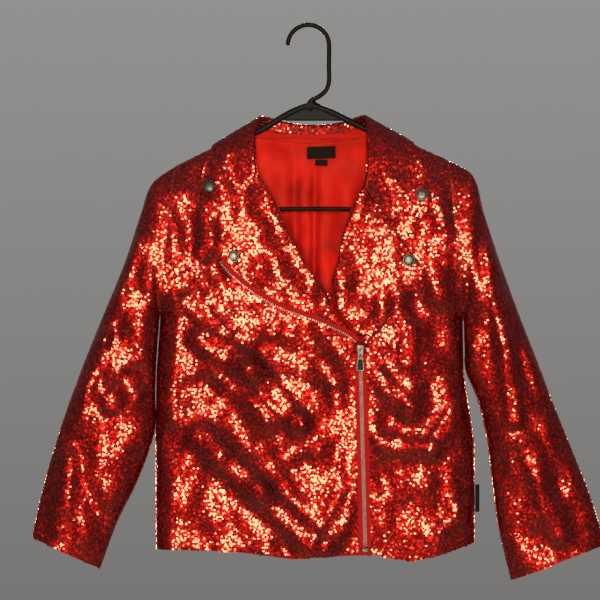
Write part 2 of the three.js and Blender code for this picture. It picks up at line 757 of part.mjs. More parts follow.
function pointOnSections(sections, u, v) {
  const rows = sections.length - 1;
  const columns = sections[0].length - 1;
  const i = Math.min(Math.floor(u * columns), columns - 1);
  const j = Math.min(Math.floor(v * rows), rows - 1);
  const a = sections[j][i].clone().lerp(sections[j][i + 1], u * columns - i);
  const b = sections[j + 1][i].clone().lerp(sections[j + 1][i + 1], u * columns - i);
  return a.lerp(b, v * rows - j);
}

const collarSections = [];
for (let k = 0; k <= COLLAR_SEGMENTS; k += 1) {
  collarSections.push(collarSection(k / COLLAR_SEGMENTS));
}

function makeCollar() {
  const surface = (u, v) => pointOnSections(collarSections, u, v);
  const columns = collarSections[0].length - 1;
  add('collar', wall({ surface, columns, rows: COLLAR_SEGMENTS, flipped: true }), SEQUIN());
}

// Lapels lie on the fronts. Their roll stands a little prouder than their outer edge.
const LAPEL_LIFT = CLOTH + 3 * SEAM;
const LAPEL_ROLL = 1.6;

function lapelPoint(table, u, v) {
  const row = rowAt(table, v);
  const x = THREE.MathUtils.lerp(row.rollX, row.edgeX, u);
  const z = THREE.MathUtils.lerp(row.rollZ, row.edgeZ, u);
  return onFront(x, z, LAPEL_LIFT + LAPEL_ROLL * (1 - u) ** 2);
}

function makeLapels() {
  const right = (u, v) => lapelPoint(RIGHT_LAPEL, u, v);
  const left = (u, v) => lapelPoint(LEFT_LAPEL, u, v);
  add('lapel_right', wall({ surface: right, columns: 6, rows: 18 }), SEQUIN());
  add('lapel_left', wall({ surface: left, columns: 8, rows: 18, flipped: true }), SEQUIN());
}

// Curve in the hanger's plane through the rows of a table with x and z
function curveThrough(rows) {
  const points = rows.map(({ x, z }) => at(x, 0, z));
  return new THREE.CatmullRomCurve3(points, false, 'centripetal');
}

// Flat strips that follow the front, such as tapes and zip chains
function strip(name, { line, from, to, lift, near, far, rows, material }) {
  const curve = curveThrough(line);
  const surface = (u, v) => {
    const centre = curve.getPointAt(v);
    const tangent = curve.getTangentAt(v);
    const sideways = THREE.MathUtils.lerp(from, to, u);
    return onFront(centre.x - tangent.z * sideways, centre.z + tangent.x * sideways, lift);
  };
  add(name, wall({ surface, columns: 1, rows, near, far, flipped: true }), material);
}

// Closed and open zip: depths behind the front's face, widths from the line of its teeth
const ZIP = { tapeNear: 0.4, far: 1.8, stations: [-392, -500, -600, -625], rows: 16 };
const OPEN_ZIP = { teethFrom: -0.2, teethTo: 2.6, tapeFrom: 2.9, tapeTo: 6.4, rows: 22 };
const OPEN_DEPTH = { teethNear: -0.2, teethFar: 1.6, tapeNear: 0.3, tapeFar: 1.7 };

function makeZip() {
  const line = ZIP.stations.map((z) => ({ x: chainX(z), z }));
  const half = CHAIN_WIDTH / 2;
  const outer = half + SEAM + TAPE_WIDTH;
  const closed = { line, lift: 0, near: ZIP.tapeNear, far: ZIP.far, rows: ZIP.rows };
  strip('zip_chain', { ...closed, from: -half, to: half, near: 0, material: NICKEL() });
  strip('zip_tape_right', { ...closed, from: -outer, to: -half - SEAM, material: ZIP_TAPE() });
  strip('zip_tape_left', { ...closed, from: half + SEAM, to: outer, material: ZIP_TAPE() });
  const open = { line: HALF_ZIP, lift: LAPEL_LIFT, rows: OPEN_ZIP.rows };
  strip('zip_half_chain', {
    ...open,
    from: OPEN_ZIP.teethFrom,
    to: OPEN_ZIP.teethTo,
    near: OPEN_DEPTH.teethNear,
    far: OPEN_DEPTH.teethFar,
    material: NICKEL(),
  });
  strip('zip_half_tape', {
    ...open,
    from: OPEN_ZIP.tapeFrom,
    to: OPEN_ZIP.tapeTo,
    near: OPEN_DEPTH.tapeNear,
    far: OPEN_DEPTH.tapeFar,
    material: ZIP_TAPE(),
  });
}

// Closed mesh for joining and cutting
function solidOf(geometry) {
  const bare = geometry.index ? geometry.toNonIndexed() : geometry.clone();
  bare.deleteAttribute('normal');
  bare.deleteAttribute('uv');
  const merged = mergeVertices(bare, 1e-4);
  return new wasm.Manifold(new wasm.Mesh({
    numProp: 3,
    vertProperties: new Float32Array(merged.attributes.position.array),
    triVerts: new Uint32Array(merged.index.array),
  }));
}

function joined(geometries) {
  let total = solidOf(geometries[0]);
  for (const geometry of geometries.slice(1)) {
    total = total.add(solidOf(geometry));
  }
  const { vertProperties, triVerts } = total.getMesh();
  const geometry = new THREE.BufferGeometry();
  geometry.setAttribute('position', new THREE.BufferAttribute(vertProperties, 3));
  geometry.setIndex(new THREE.BufferAttribute(triVerts, 1));
  geometry.computeVertexNormals();
  return geometry;
}

// Rod or flat bar along a curve in the hanger's plane; wide is front to back
function bar(rows, wide, tall, steps) {
  const section = new THREE.Shape();
  section.absellipse(0, 0, wide / 2, tall / 2, 0, Math.PI * 2, false, 0);
  const extrudePath = curveThrough(rows);
  return new THREE.ExtrudeGeometry(section, { steps, curveSegments: 4, extrudePath });
}

// Centre of a hanger arm where the shoulder rests on it
const ARM_DROP = CLOTH + ARM_CLEAR + ARM_TALL / 2 / Math.cos(Math.atan(0.5));
const underShoulder = (x) => ({ x, z: shoulderAt(x) - ARM_DROP });

function armBars({ neck, shoulder, turn, bar: low }) {
  return [
    bar([...neck, ...shoulder.map(underShoulder)], ARM_THICK, ARM_TALL, 9),
    bar([...turn.map(underShoulder), ...low], ARM_THICK, BAR_TALL, 16),
  ];
}

function makeHanger() {
  const arc = [];
  for (let degrees = 180; degrees >= 0; degrees -= 15) {
    const angle = THREE.MathUtils.degToRad(degrees);
    const x = HOOK_RADIUS * Math.cos(angle);
    arc.push({ x, z: HOOK_CENTRE_Z + HOOK_RADIUS * Math.sin(angle) });
  }
  const outline = new THREE.Shape(HANGER_WEB.map(({ x, z }) => new THREE.Vector2(x, z)));
  const web = new THREE.ExtrudeGeometry(outline, { depth: WEB_THICK, bevelEnabled: false });
  web.rotateX(Math.PI / 2);
  web.translate(0, WEB_THICK / 2, 0);
  add('hanger', joined([
    bar([...arc, ...HOOK_STEM], HOOK_ROD, HOOK_ROD, 32),
    ...armBars(RIGHT_ARM),
    ...armBars(LEFT_ARM),
    web,
  ]), BLACK_PLASTIC());
}

// Pieces on the inside of the back, counted inwards from the outer face
function insideBack(name, { x1, x2, z1, z2, tilt = 0, dip = 0, ...size }, material) {
  const surface = (u, v) => {
    const x = THREE.MathUtils.lerp(x1, x2, u);
    const sag = dip * (1 - (2 * u - 1) ** 2);
    const z = THREE.MathUtils.lerp(z1, z2, v) + tilt * (u - 0.5) - sag * v;
    return onBack(x, z);
  };
  add(name, wall({ surface, flipped: true, ...size }), material);
}

const LINING_PANEL = { x1: -63, x2: 67, z1: -345, z2: -133.8, dip: 7 };
const NECK_BINDING = { x1: -63, x2: 67, z1: -133, z2: -129.4 };

function makeInside() {
  const face = CLOTH + LAYER_GAP;
  const lined = face + SATIN + LAYER_GAP;
  const satin = { near: face, far: face + SATIN };
  const label = { near: lined, far: lined + LABEL_THICK };
  insideBack('lining_back', { ...LINING_PANEL, ...satin, columns: 16, rows: 10 }, LINING());
  insideBack('neck_tape', { ...NECK_BINDING, ...satin, columns: 14, rows: 1 }, ZIP_TAPE());
  insideBack('neck_label', { ...NECK_LABEL, ...label, columns: 4, rows: 2 }, BLACK_LABEL());
  insideBack('size_tab', { ...SIZE_TAB, ...label, columns: 2, rows: 1 }, BLACK_LABEL());
}

// y of the collar leaf's outer face at a point of the front view
function collarAt(x, z) {
  let best = { distance: Infinity, y: 0 };
  const step = 0.005;
  for (let v = 0; v <= 1; v += step) {
    for (let u = 0.5; u <= 1; u += 0.02) {
      const point = pointOnSections(collarSections, u, v);
      const distance = Math.hypot(point.x - x, point.z - z);
      if (point.y < 0 && distance < best.distance) {
        best = { distance, y: point.y };
      }
    }
  }
  return best.y;
}

// Snaps lie square to the cloth under them, just clear of its highest place
function makeSnaps() {
  const profile = [
    new THREE.Vector2(0, 0),
    new THREE.Vector2(SNAP.radius - SNAP.rim, 0),
    new THREE.Vector2(SNAP.radius, SNAP.rim),
    new THREE.Vector2(SNAP.radius - SNAP.slopeDrop, SNAP.rimHeight),
    new THREE.Vector2(SNAP.radius - SNAP.slope, SNAP.height - SNAP.slopeDrop),
    new THREE.Vector2(0, SNAP.height),
  ];
  const reach = SNAP.radius;
  for (const { name, x, z, on } of SNAPS) {
    const yAt = on === 'lapel' ? (a, b) => onFront(a, b, LAPEL_LIFT).y : collarAt;
    const slopeX = (yAt(x + reach, z) - yAt(x - reach, z)) / (2 * reach);
    const slopeZ = (yAt(x, z + reach) - yAt(x, z - reach)) / (2 * reach);
    const outward = at(slopeX, -1, slopeZ).normalize();
    const centre = at(x, yAt(x, z), z);
    let rise = 0;
    for (let angle = 0; angle < 2 * Math.PI; angle += Math.PI / 6) {
      const a = x + reach * Math.cos(angle);
      const b = z + reach * Math.sin(angle);
      rise = Math.max(rise, at(a, yAt(a, b), b).sub(centre).dot(outward));
    }
    const mesh = add(name, new THREE.LatheGeometry(profile, 16), NICKEL());
    mesh.quaternion.setFromUnitVectors(at(0, 1, 0), outward);
    mesh.position.copy(centre).addScaledVector(outward, rise + SEAM);
  }
}

// Slider with its bridge, pull tab through the bridge, bottom stop
const SLIDER = { x: 61.8, z: -389.6, width: 9, length: 14, thick: 3.4, nose: 2, bridge: 2 };
const PIN = { drop: 4.4, half: 0.7, clear: 0.35, bridge: 1.1, sink: 0.2 };
const PULL_TAB = [
  { x: 2.8, z: 0.7 },
  { x: 3.1, z: -4 },
  { x: 4.5, z: -18.4 },
  { x: 3.6, z: -20 },
];
const PULL_EYE = { half: 1.5, foot: -4.2 };
const STOP = { width: 8, thick: 3.4, height: 4.6, drop: 2.2, reach: 0.4, sink: 0.4 };

function boxAt(width, depth, height, x, y, z) {
  return new THREE.BoxGeometry(width, depth, height).translate(x, y, z);
}

function makeSlider() {
  const face = onFront(SLIDER.x, SLIDER.z).y - SEAM;
  const bodyY = face - SLIDER.thick / 2;
  const hole = PIN.half + PIN.clear;
  const pinY = face - SLIDER.thick - hole;
  const pinZ = SLIDER.z - PIN.drop;
  const outer = hole + PIN.bridge;
  const roofY = pinY - hole - PIN.bridge / 2;
  const post = (side) => {
    const z = pinZ + side * (hole + PIN.bridge / 2);
    return boxAt(SLIDER.bridge, outer * 2, PIN.bridge, SLIDER.x, pinY + PIN.sink, z);
  };
  const { width, length, thick, nose } = SLIDER;
  add('slider', joined([
    boxAt(width, thick, length - 2 * nose, SLIDER.x, bodyY, SLIDER.z - nose),
    boxAt(width - nose, thick, length, SLIDER.x, bodyY, SLIDER.z),
    post(1),
    post(-1),
    boxAt(SLIDER.bridge, PIN.bridge, outer * 2, SLIDER.x, roofY, pinZ),
  ]), NICKEL());

  const rightEdgeOfTab = PULL_TAB.map(({ x, z }) => new THREE.Vector2(x, z));
  const leftEdgeOfTab = PULL_TAB.map(({ x, z }) => new THREE.Vector2(-x, z)).reverse();
  const plate = new THREE.Shape([...rightEdgeOfTab, ...leftEdgeOfTab]);
  plate.holes.push(new THREE.Path([
    new THREE.Vector2(-PULL_EYE.half, -PIN.half),
    new THREE.Vector2(-PULL_EYE.half, PULL_EYE.foot),
    new THREE.Vector2(PULL_EYE.half, PULL_EYE.foot),
    new THREE.Vector2(PULL_EYE.half, -PIN.half),
  ]));
  const tab = new THREE.ExtrudeGeometry(plate, { depth: PIN.half * 2, bevelEnabled: false });
  tab.translate(0, 0, -PIN.half);
  tab.rotateX(Math.PI / 2);
  add('pull_tab', tab, NICKEL()).position.set(SLIDER.x, pinY, pinZ);

  const stopZ = CHAIN.endZ - STOP.drop;
  const stopY = onFront(CHAIN.endX, CHAIN.endZ - STOP.reach).y + STOP.sink;
  const stop = boxAt(STOP.width, STOP.thick, STOP.height, CHAIN.endX, stopY, stopZ);
  add('bottom_stop', stop, NICKEL());
}

function makeSideTab() {
  const { width, thick, length, x, z } = SIDE_TAB;
  add('side_tab', boxAt(width, thick, length, x, 0, z), BLACK_LABEL());
}

makeHanger();
makeBack();
makeFronts();
makeSleeves();
makeCollar();
makeLapels();
makeZip();
makeInside();
makeSnaps();
makeSlider();
makeSideTab();

export default jacket;
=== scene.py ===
"""A cropped red sequin moto jacket that hangs on a black moulded hanger.

Sizes in the classes are millimetres in the part's own frame: +Z up, the front faces -Y,
and the origin is the inner top of the hanger's hook. Right and left are the wearer's.
"""
import logging
import math
from dataclasses import dataclass, field
from enum import Enum
from typing import Callable, Sequence

import bpy
import numpy as np
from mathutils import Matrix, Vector


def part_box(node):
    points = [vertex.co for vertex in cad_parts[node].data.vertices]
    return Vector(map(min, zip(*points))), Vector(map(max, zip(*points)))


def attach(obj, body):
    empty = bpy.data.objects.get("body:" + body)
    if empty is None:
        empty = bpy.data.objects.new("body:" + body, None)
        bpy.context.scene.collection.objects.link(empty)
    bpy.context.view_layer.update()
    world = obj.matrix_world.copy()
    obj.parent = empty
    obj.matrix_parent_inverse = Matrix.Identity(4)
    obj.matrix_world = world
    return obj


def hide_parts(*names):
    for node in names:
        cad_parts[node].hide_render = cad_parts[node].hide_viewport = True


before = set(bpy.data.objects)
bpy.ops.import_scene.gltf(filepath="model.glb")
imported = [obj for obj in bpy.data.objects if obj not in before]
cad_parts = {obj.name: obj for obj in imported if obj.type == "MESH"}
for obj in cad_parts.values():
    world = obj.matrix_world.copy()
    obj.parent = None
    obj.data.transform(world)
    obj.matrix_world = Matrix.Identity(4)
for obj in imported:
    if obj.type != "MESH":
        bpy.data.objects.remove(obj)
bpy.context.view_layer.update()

MM = 0.001
SEED = 1207
FORWARD = (0.0, -1.0, 0.0)
BACKWARD = (0.0, 1.0, 0.0)
JACKET_BODY = "jacket"
PULL_BODY = "zip_pull"

Array = np.ndarray
Material = bpy.types.Material
Piece = bpy.types.Object
Pair = tuple[float, float]
Triple = tuple[float, float, float]
Table = tuple[tuple[float, ...], ...]
log = logging.getLogger("moto_jacket")


# Finishes


class NodeSheet:
    """A material's node tree with short calls for adding and joining nodes."""

    def __init__(self, name: str) -> None:
        """Starts an empty node tree that ends in a Principled shader.

        Args:
            name: the material's name.
        """
        self.material = bpy.data.materials.new(name)
        self.material.use_nodes = True
        self.tree = self.material.node_tree
        self.tree.nodes.clear()
        output = self.tree.nodes.new("ShaderNodeOutputMaterial")
        self.shader = self.tree.nodes.new("ShaderNodeBsdfPrincipled")
        self.tree.links.new(self.shader.outputs[0], output.inputs["Surface"])

    def add(self, kind: str, inputs: dict | None = None, **settings) -> bpy.types.Node:
        """Adds a node.

        Args:
            kind: the node's type name without its ShaderNode prefix.
            inputs: values or output sockets for named inputs.
            settings: attributes of the node.

        Returns:
            The new node.
        """
        node = self.tree.nodes.new("ShaderNode" + kind)
        for key, value in settings.items():
            setattr(node, key, value)
        for key, value in (inputs or {}).items():
            self.put(node.inputs[key], value)
        return node

    def put(self, socket: bpy.types.NodeSocket, value: object) -> None:
        """Sets a socket's value, or joins it to an output socket."""
        if isinstance(value, bpy.types.NodeSocket):
            self.tree.links.new(value, socket)
        else:
            socket.default_value = value

    def surface(self, **values: object) -> None:
        """Sets the Principled shader's sockets; underscores stand for spaces."""
        for key, value in values.items():
            self.put(self.shader.inputs[key.replace("_", " ")], value)

    def ramp(self, factor: object, *stops: tuple[float, Triple]) -> object:
        """Adds a colour ramp.

        Args:
            factor: the output socket that drives it.
            stops: pairs of place and colour.

        Returns:
            The colour output.
        """
        node = self.add("ValToRGB", {"Fac": factor})
        elements = node.color_ramp.elements
        while len(elements) < len(stops):
            elements.new(0.5)
        for element, (place, colour) in zip(elements, stops):
            element.position = place
            element.color = (*colour, 1.0)
        return node.outputs["Color"]

    def place(self) -> object:
        """Returns the object coordinates."""
        return self.add("TexCoord").outputs["Object"]

    def noise(self, scale: float, detail: float, roughness: float = 0.5) -> object:
        """Returns the value of a noise texture in object coordinates."""
        inputs = {"Scale": scale, "Detail": detail, "Roughness": roughness}
        return self.add("TexNoise", {"Vector": self.place(), **inputs}).outputs["Fac"]

    def span(self, value: object, low: float, high: float) -> object:
        """Maps a value in 0..1 to low..high and returns the result."""
        inputs = {"Value": value, "To Min": low, "To Max": high}
        return self.add("MapRange", inputs).outputs["Result"]

    def bump(self, height: object, strength: float, distance: float) -> object:
        """Returns a normal bumped by a height, distance in metres."""
        inputs = {"Height": height, "Strength": strength, "Distance": distance}
        return self.add("Bump", inputs).outputs["Normal"]


@dataclass(frozen=True)
class SequinFinish:
    """Red metallic film discs under a clear gloss, each a little different."""

    deep: Triple = (0.03, 0.0003, 0.0003)
    middle: Triple = (0.10, 0.0006, 0.0006)
    bright: Triple = (0.30, 0.010, 0.004)

    def material(self) -> Material:
        """Returns the sequin material."""
        sheet = NodeSheet("sequin_film")
        tone = sheet.add("Attribute", attribute_name="tone").outputs["Fac"]
        grain = sheet.noise(900.0, 2.0)
        colour = sheet.ramp(tone, (0.0, self.deep), (0.55, self.middle), (1.0, self.bright))
        scuff = sheet.bump(grain, 0.12, 0.0002)
        sheet.surface(
            Base_Color=colour, Metallic=0.85, Roughness=sheet.span(grain, 0.34, 0.44),
            Specular_IOR_Level=0.2, Specular_Tint=(0.75, 0.10, 0.08, 1.0),
            Coat_Weight=0.40, Coat_Roughness=0.09, Normal=scuff,
        )
        return sheet.material


@dataclass(frozen=True)
class MeshGroundFinish:
    """Red knitted mesh that carries the sequins."""

    def material(self) -> Material:
        """Returns the ground cloth material."""
        sheet = NodeSheet("sequin_ground")
        inputs = {"Vector": sheet.place(), "Scale": 900.0}
        knit = sheet.add("TexVoronoi", inputs).outputs["Distance"]
        colour = sheet.ramp(knit, (0.0, (0.06, 0.001, 0.001)), (1.0, (0.15, 0.002, 0.002)))
        sheet.surface(
            Base_Color=colour, Roughness=0.8, Sheen_Weight=0.15,
            Sheen_Tint=(0.9, 0.1, 0.1, 1.0), Normal=sheet.bump(knit, 0.5, 0.0004),
        )
        return sheet.material


@dataclass(frozen=True)
class SatinFinish:
    """Red polyester satin with a fine weave."""

    dark: Triple = (0.13, 0.0030, 0.0030)
    light: Triple = (0.40, 0.009, 0.009)

    def material(self) -> Material:
        """Returns the satin material."""
        sheet = NodeSheet("red_satin")
        inputs = {"Vector": sheet.place(), "Scale": 700.0, "Distortion": 1.0}
        thread = sheet.add("TexWave", inputs, bands_direction="X").outputs["Fac"]
        cloud = sheet.noise(24.0, 3.0)
        colour = sheet.ramp(cloud, (0.25, self.dark), (0.75, self.light))
        sheet.surface(
            Base_Color=colour, Roughness=sheet.span(cloud, 0.50, 0.62), Specular_IOR_Level=0.16,
            Specular_Tint=(1.0, 0.35, 0.25, 1.0), Normal=sheet.bump(thread, 0.10, 0.0002),
        )
        return sheet.material


@dataclass(frozen=True)
class TapeFinish:
    """Woven tape: of a zip, a neck binding or a label."""

    name: str
    dark: Triple
    light: Triple
    threads: float = 1300.0
    sheen: float = 0.05

    def material(self) -> Material:
        """Returns the woven tape material."""
        sheet = NodeSheet(self.name)
        weft = {"Vector": sheet.place(), "Scale": self.threads, "Distortion": 0.6}
        across = sheet.add("TexWave", weft, bands_direction="Z").outputs["Fac"]
        along = sheet.add("TexWave", weft, bands_direction="X").outputs["Fac"]
        weave = sheet.add("Math", {0: across, 1: along}, operation="MULTIPLY").outputs[0]
        colour = sheet.ramp(weave, (0.0, self.dark), (1.0, self.light))
        sheet.surface(
            Base_Color=colour, Roughness=0.82, Sheen_Weight=self.sheen, Specular_IOR_Level=0.12,
            Normal=sheet.bump(weave, 0.45, 0.0003),
        )
        return sheet.material


@dataclass(frozen=True)
class MetalFinish:
    """Plated metal with faint scratches and tarnish."""

    name: str
    dull: Triple
    clean: Triple
    smooth: float
    rough: float

    def material(self) -> Material:
        """Returns the metal material."""
        sheet = NodeSheet(self.name)
        tarnish = sheet.noise(260.0, 4.0, 0.6)
        scratch = sheet.noise(2400.0, 1.0)
        colour = sheet.ramp(tarnish, (0.30, self.dull), (0.62, self.clean))
        sheet.surface(
            Base_Color=colour, Metallic=1.0, Roughness=sheet.span(tarnish, self.rough, self.smooth),
            Normal=sheet.bump(scratch, 0.08, 0.0001),
        )
        return sheet.material


@dataclass(frozen=True)
class PlasticFinish:
    """Moulded plastic with a faint orange-peel skin and rubbed patches here and there."""

    name: str
    dark: Triple
    rubbed: Triple

    def material(self) -> Material:
        """Returns the plastic material."""
        sheet = NodeSheet(self.name)
        peel = sheet.noise(500.0, 2.0)
        wear = sheet.noise(45.0, 5.0, 0.65)
        colour = sheet.ramp(wear, (0.40, self.dark), (0.80, self.rubbed))
        sheet.surface(
            Base_Color=colour, Roughness=sheet.span(wear, 0.36, 0.46), Specular_IOR_Level=0.06,
            Specular_Tint=(0.42, 0.58, 0.9, 1.0), Normal=sheet.bump(peel, 0.10, 0.0003),
        )
        return sheet.material


class Finishes:
    """Every material of the jacket and its hanger."""

    def __init__(self) -> None:
        """Makes the materials."""
        self.sequin = SequinFinish().material()
        self.ground = MeshGroundFinish().material()
        self.satin = SatinFinish().material()
        self.tape = TapeFinish("zip_tape", (0.16, 0.002, 0.004), (0.34, 0.006, 0.008)).material()
        self.binding = TapeFinish(
            "neck_binding", (0.22, 0.004, 0.004), (0.42, 0.012, 0.009)).material()
        self.label = TapeFinish(
            "woven_label", (0.002, 0.002, 0.002), (0.006, 0.006, 0.006), sheen=0.0).material()
        self.nickel = MetalFinish(
            "nickel", (0.014, 0.017, 0.021), (0.045, 0.052, 0.066), 0.34, 0.48).material()
        self.cap = MetalFinish(
            "snap_nickel", (0.016, 0.020, 0.025), (0.046, 0.054, 0.068), 0.30, 0.42).material()
        self.teeth = MetalFinish(
            "zip_teeth", (0.20, 0.20, 0.24), (0.44, 0.44, 0.54), 0.44, 0.58).material()
        self.inset = PlasticFinish(
            "tab_inset", (0.002, 0.002, 0.002), (0.008, 0.008, 0.009)).material()
        self.hanger = PlasticFinish(
            "hanger_black", (0.002, 0.002, 0.0022), (0.006, 0.006, 0.0065)).material()


# Mesh making


def make_mesh(
    name: str, points: Array, faces: Array | list, materials: Sequence[Material],
    slots: Array | None = None, smooth: bool = True,
) -> Piece:
    """Makes a mesh object from points in millimetres.

    Args:
        name: the object's name.
        points: one row for each point.
        faces: one row of indices for each face.
        materials: the object's materials.
        slots: material slot of each face.
        smooth: whether faces are shaded smooth.

    Returns:
        The linked object.
    """
    mesh = bpy.data.meshes.new(name)
    rows = faces if isinstance(faces, list) else faces.tolist()
    mesh.from_pydata((np.asarray(points) * MM).tolist(), [], rows)
    for material in materials:
        mesh.materials.append(material)
    if slots is not None:
        mesh.polygons.foreach_set("material_index", np.asarray(slots, dtype=np.int32))
    mesh.polygons.foreach_set("use_smooth", np.full(len(mesh.polygons), smooth))
    mesh.update()
    obj = bpy.data.objects.new(name, mesh)
    bpy.context.scene.collection.objects.link(obj)
    return obj


def unit(vectors: Array) -> Array:
    """Returns vectors of length one."""
    return vectors / np.maximum(np.linalg.norm(vectors, axis=-1, keepdims=True), 1e-9)


def length_along(line: Array) -> Array:
    """Returns the length of a line of points up to each point."""
    return np.concatenate([[0], np.cumsum(np.linalg.norm(np.diff(line, axis=0), axis=1))])


def sample(at: Array, keys: Array, values: Array) -> Array:
    """Returns rows of values, linear between the given ones.

    Args:
        at: places to read.
        keys: the place of each given row.
        values: the given rows.

    Returns:
        One row for each place.
    """
    return np.stack([np.interp(at, keys, column) for column in values.T], -1)


def directions(line: Array) -> tuple[Array, Array]:
    """Returns unit vectors along a line of x and z points, and square to it."""
    along = unit(np.gradient(line, axis=0))
    return along, np.stack([-along[:, 1], along[:, 0]], 1)


def arrays(x: Array, z: Array) -> list[Array]:
    """Returns x and z as arrays of numbers of one shape."""
    return np.broadcast_arrays(np.asarray(x, float), np.asarray(z, float))


def closed(grid: Array) -> Array:
    """Returns a grid with its first column again at its end."""
    return np.concatenate([grid, grid[:, :1]], axis=1)


def mirrored(half: Table, x: float, z: float) -> Array:
    """Returns a whole outline about x and z from its right half."""
    right = np.array(half)
    return np.roll(np.concatenate([right, right[::-1] * (-1, 1)]), 1, axis=0) + (x, z)


def rising(level: Array) -> Array:
    """Returns levels that never fall from one row of a grid to the next."""
    return np.maximum.accumulate(level + np.arange(len(level))[:, None] * 1e-4, axis=0)


def grid_faces(rows: int, columns: int, ring: bool = True) -> tuple[Array, Array]:
    """Numbers a grid of points and joins them with quads.

    Args:
        rows: number of rows.
        columns: number of points in a row.
        ring: whether each row closes on itself.

    Returns:
        The points' numbers, with the first column again at the end of a ring, and the quads.
    """
    at = np.arange(rows * columns).reshape(rows, columns)
    if ring:
        at = closed(at)
    quads = np.stack([at[:-1, :-1], at[:-1, 1:], at[1:, 1:], at[1:, :-1]], -1)
    return at, quads.reshape(-1, 4)


def soften(obj: Piece, width: float, segments: int) -> bpy.types.Modifier:
    """Rounds an object's edges by a width in millimetres and returns the modifier."""
    bevel = obj.modifiers.new("soft_edges", "BEVEL")
    bevel.width, bevel.segments = width * MM, segments
    return bevel


def grid_normals(grid: Array, outward: Array) -> Array:
    """Returns unit normals of a grid of points, turned to one side.

    Args:
        grid: rows, columns, 3.
        outward: a vector for each point that the normals should agree with.

    Returns:
        An array of the grid's shape.
    """
    normals = unit(np.cross(np.gradient(grid, axis=1), np.gradient(grid, axis=0)))
    normals[(normals * outward).sum(2) < 0] *= -1
    return normals


def shell(
    name: str, outer: Array, inner: Array, materials: Sequence[Material],
    ring: bool = False,
) -> Piece:
    """Makes a closed thin shell between two grids.

    Args:
        name: the object's name.
        outer: grid of the outer face, rows by columns.
        inner: grid of the inner face, of the same shape.
        materials: outer material, then the inner face's one if there is a second.
        ring: whether each row closes on itself, as on a sleeve.

    Returns:
        The linked object.
    """
    rows, columns = outer.shape[:2]
    count = rows * columns
    at, quads = grid_faces(rows, columns, ring)
    rims = [at[0], at[-1][::-1]]
    if not ring:
        rims += [at[:, -1], at[::-1, 0]]
    walls = [np.stack([r[1:], r[:-1], r[:-1] + count, r[1:] + count], -1) for r in rims]
    faces = np.concatenate([quads, quads[:, ::-1] + count, *walls])
    a, b, c = (outer.reshape(-1, 3)[quads[:, k]] for k in (0, 1, 2))
    facing = np.cross(b - a, c - a)
    away = (outer - inner).reshape(-1, 3)[quads[:, 0]]
    if (facing * away).sum() < 0:
        faces = faces[:, ::-1]
    slots = np.zeros(len(faces), dtype=np.int32)
    if len(materials) > 1:
        slots[len(quads):2 * len(quads)] = 1
    points = np.concatenate([outer.reshape(-1, 3), inner.reshape(-1, 3)])
    return make_mesh(name, points, faces, materials, slots)


def settle(
    obj: Piece, nodes: Sequence[str], body: str = JACKET_BODY
) -> Piece:
    """Makes a piece ride on a body and stand for CAD nodes.

    Args:
        obj: the piece.
        nodes: the CAD nodes that it replaces, maybe none.
        body: the body that it rides on.

    Returns:
        The piece.
    """
    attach(obj, body)
    if nodes:
        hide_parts(*nodes)
    log.info("%s made", obj.name)
    return obj


def look_up(table: Sequence[Pair], value: Array) -> Array:
    """Returns the second column of a table at values of its first, linear between rows."""
    keys, results = zip(*sorted(table))
    return np.interp(value, keys, results)


def smoothstep(value: Array, low: float, high: float) -> Array:
    """Returns the smooth step from 0 at low to 1 at high."""
    t = np.clip((value - low) / (high - low), 0, 1)
    return t * t * (3 - 2 * t)


def centripetal(points: Array, t: Array) -> Array:
    """Returns points of a centripetal Catmull-Rom curve.

    Args:
        points: the curve's points, one row each.
        t: places along it, 0 to 1, each stretch taking an equal share.

    Returns:
        One row for each place.
    """
    p = np.concatenate([[2 * points[0] - points[1]], points, [2 * points[-1] - points[-2]]])
    at = np.clip(t, 0, 1) * (len(points) - 1)
    k = np.minimum(at.astype(int), len(points) - 2)
    w = (at - k)[:, None]
    p0, p1, p2, p3 = p[k], p[k + 1], p[k + 2], p[k + 3]

    def step(a: Array, b: Array) -> Array:
        """Returns the knot step between two points."""
        return np.maximum(np.linalg.norm(b - a, axis=1, keepdims=True), 1e-4) ** 0.5

    d0, d1, d2 = step(p0, p1), step(p1, p2), step(p2, p3)
    m1 = ((p1 - p0) / d0 - (p2 - p0) / (d0 + d1) + (p2 - p1) / d1) * d1
    m2 = ((p2 - p1) / d1 - (p3 - p1) / (d1 + d2) + (p3 - p2) / d2) * d1
    a = 2 * p1 - 2 * p2 + m1 + m2
    b = -3 * p1 + 3 * p2 - 2 * m1 - m2
    return ((a * w + b) * w + m1) * w + p1


# The hanging form


@dataclass(frozen=True)
class Fold:
    """A soft ridge, or a trough where rise is negative, between two places of the front view."""

    x1: float
    z1: float
    x2: float
    z2: float
    rise: float
    width: float

    def height(self, x: Array, z: Array) -> Array:
        """Returns the fold's height at places of the front view."""
        dx, dz = self.x2 - self.x1, self.z2 - self.z1
        t = np.clip(((x - self.x1) * dx + (z - self.z1) * dz) / (dx * dx + dz * dz), 0, 1)
        away = (x - self.x1 - dx * t) ** 2 + (z - self.z1 - dz * t) ** 2
        return self.rise * np.exp(-((away / (1.15 * self.width) ** 2) ** 1.8))


def folds(*rows: tuple[float, ...]) -> tuple[Fold, ...]:
    """Makes folds from rows of start, end, height and width."""
    return tuple(Fold(*row) for row in rows)


@dataclass(frozen=True)
class Zip:
    """The closed zip's line and sizes."""

    top_x: float = 61.8
    top_z: float = -392.0
    end_x: float = 68.0
    end_z: float = -626.0
    width: float = 5.5
    tape: float = 4.6
    calm: float = 16.0

    def x_at(self, z: Array) -> Array:
        """Returns the zip's place across at a height."""
        return np.interp(-np.asarray(z), [-self.top_z, -self.end_z], [self.top_x, self.end_x])


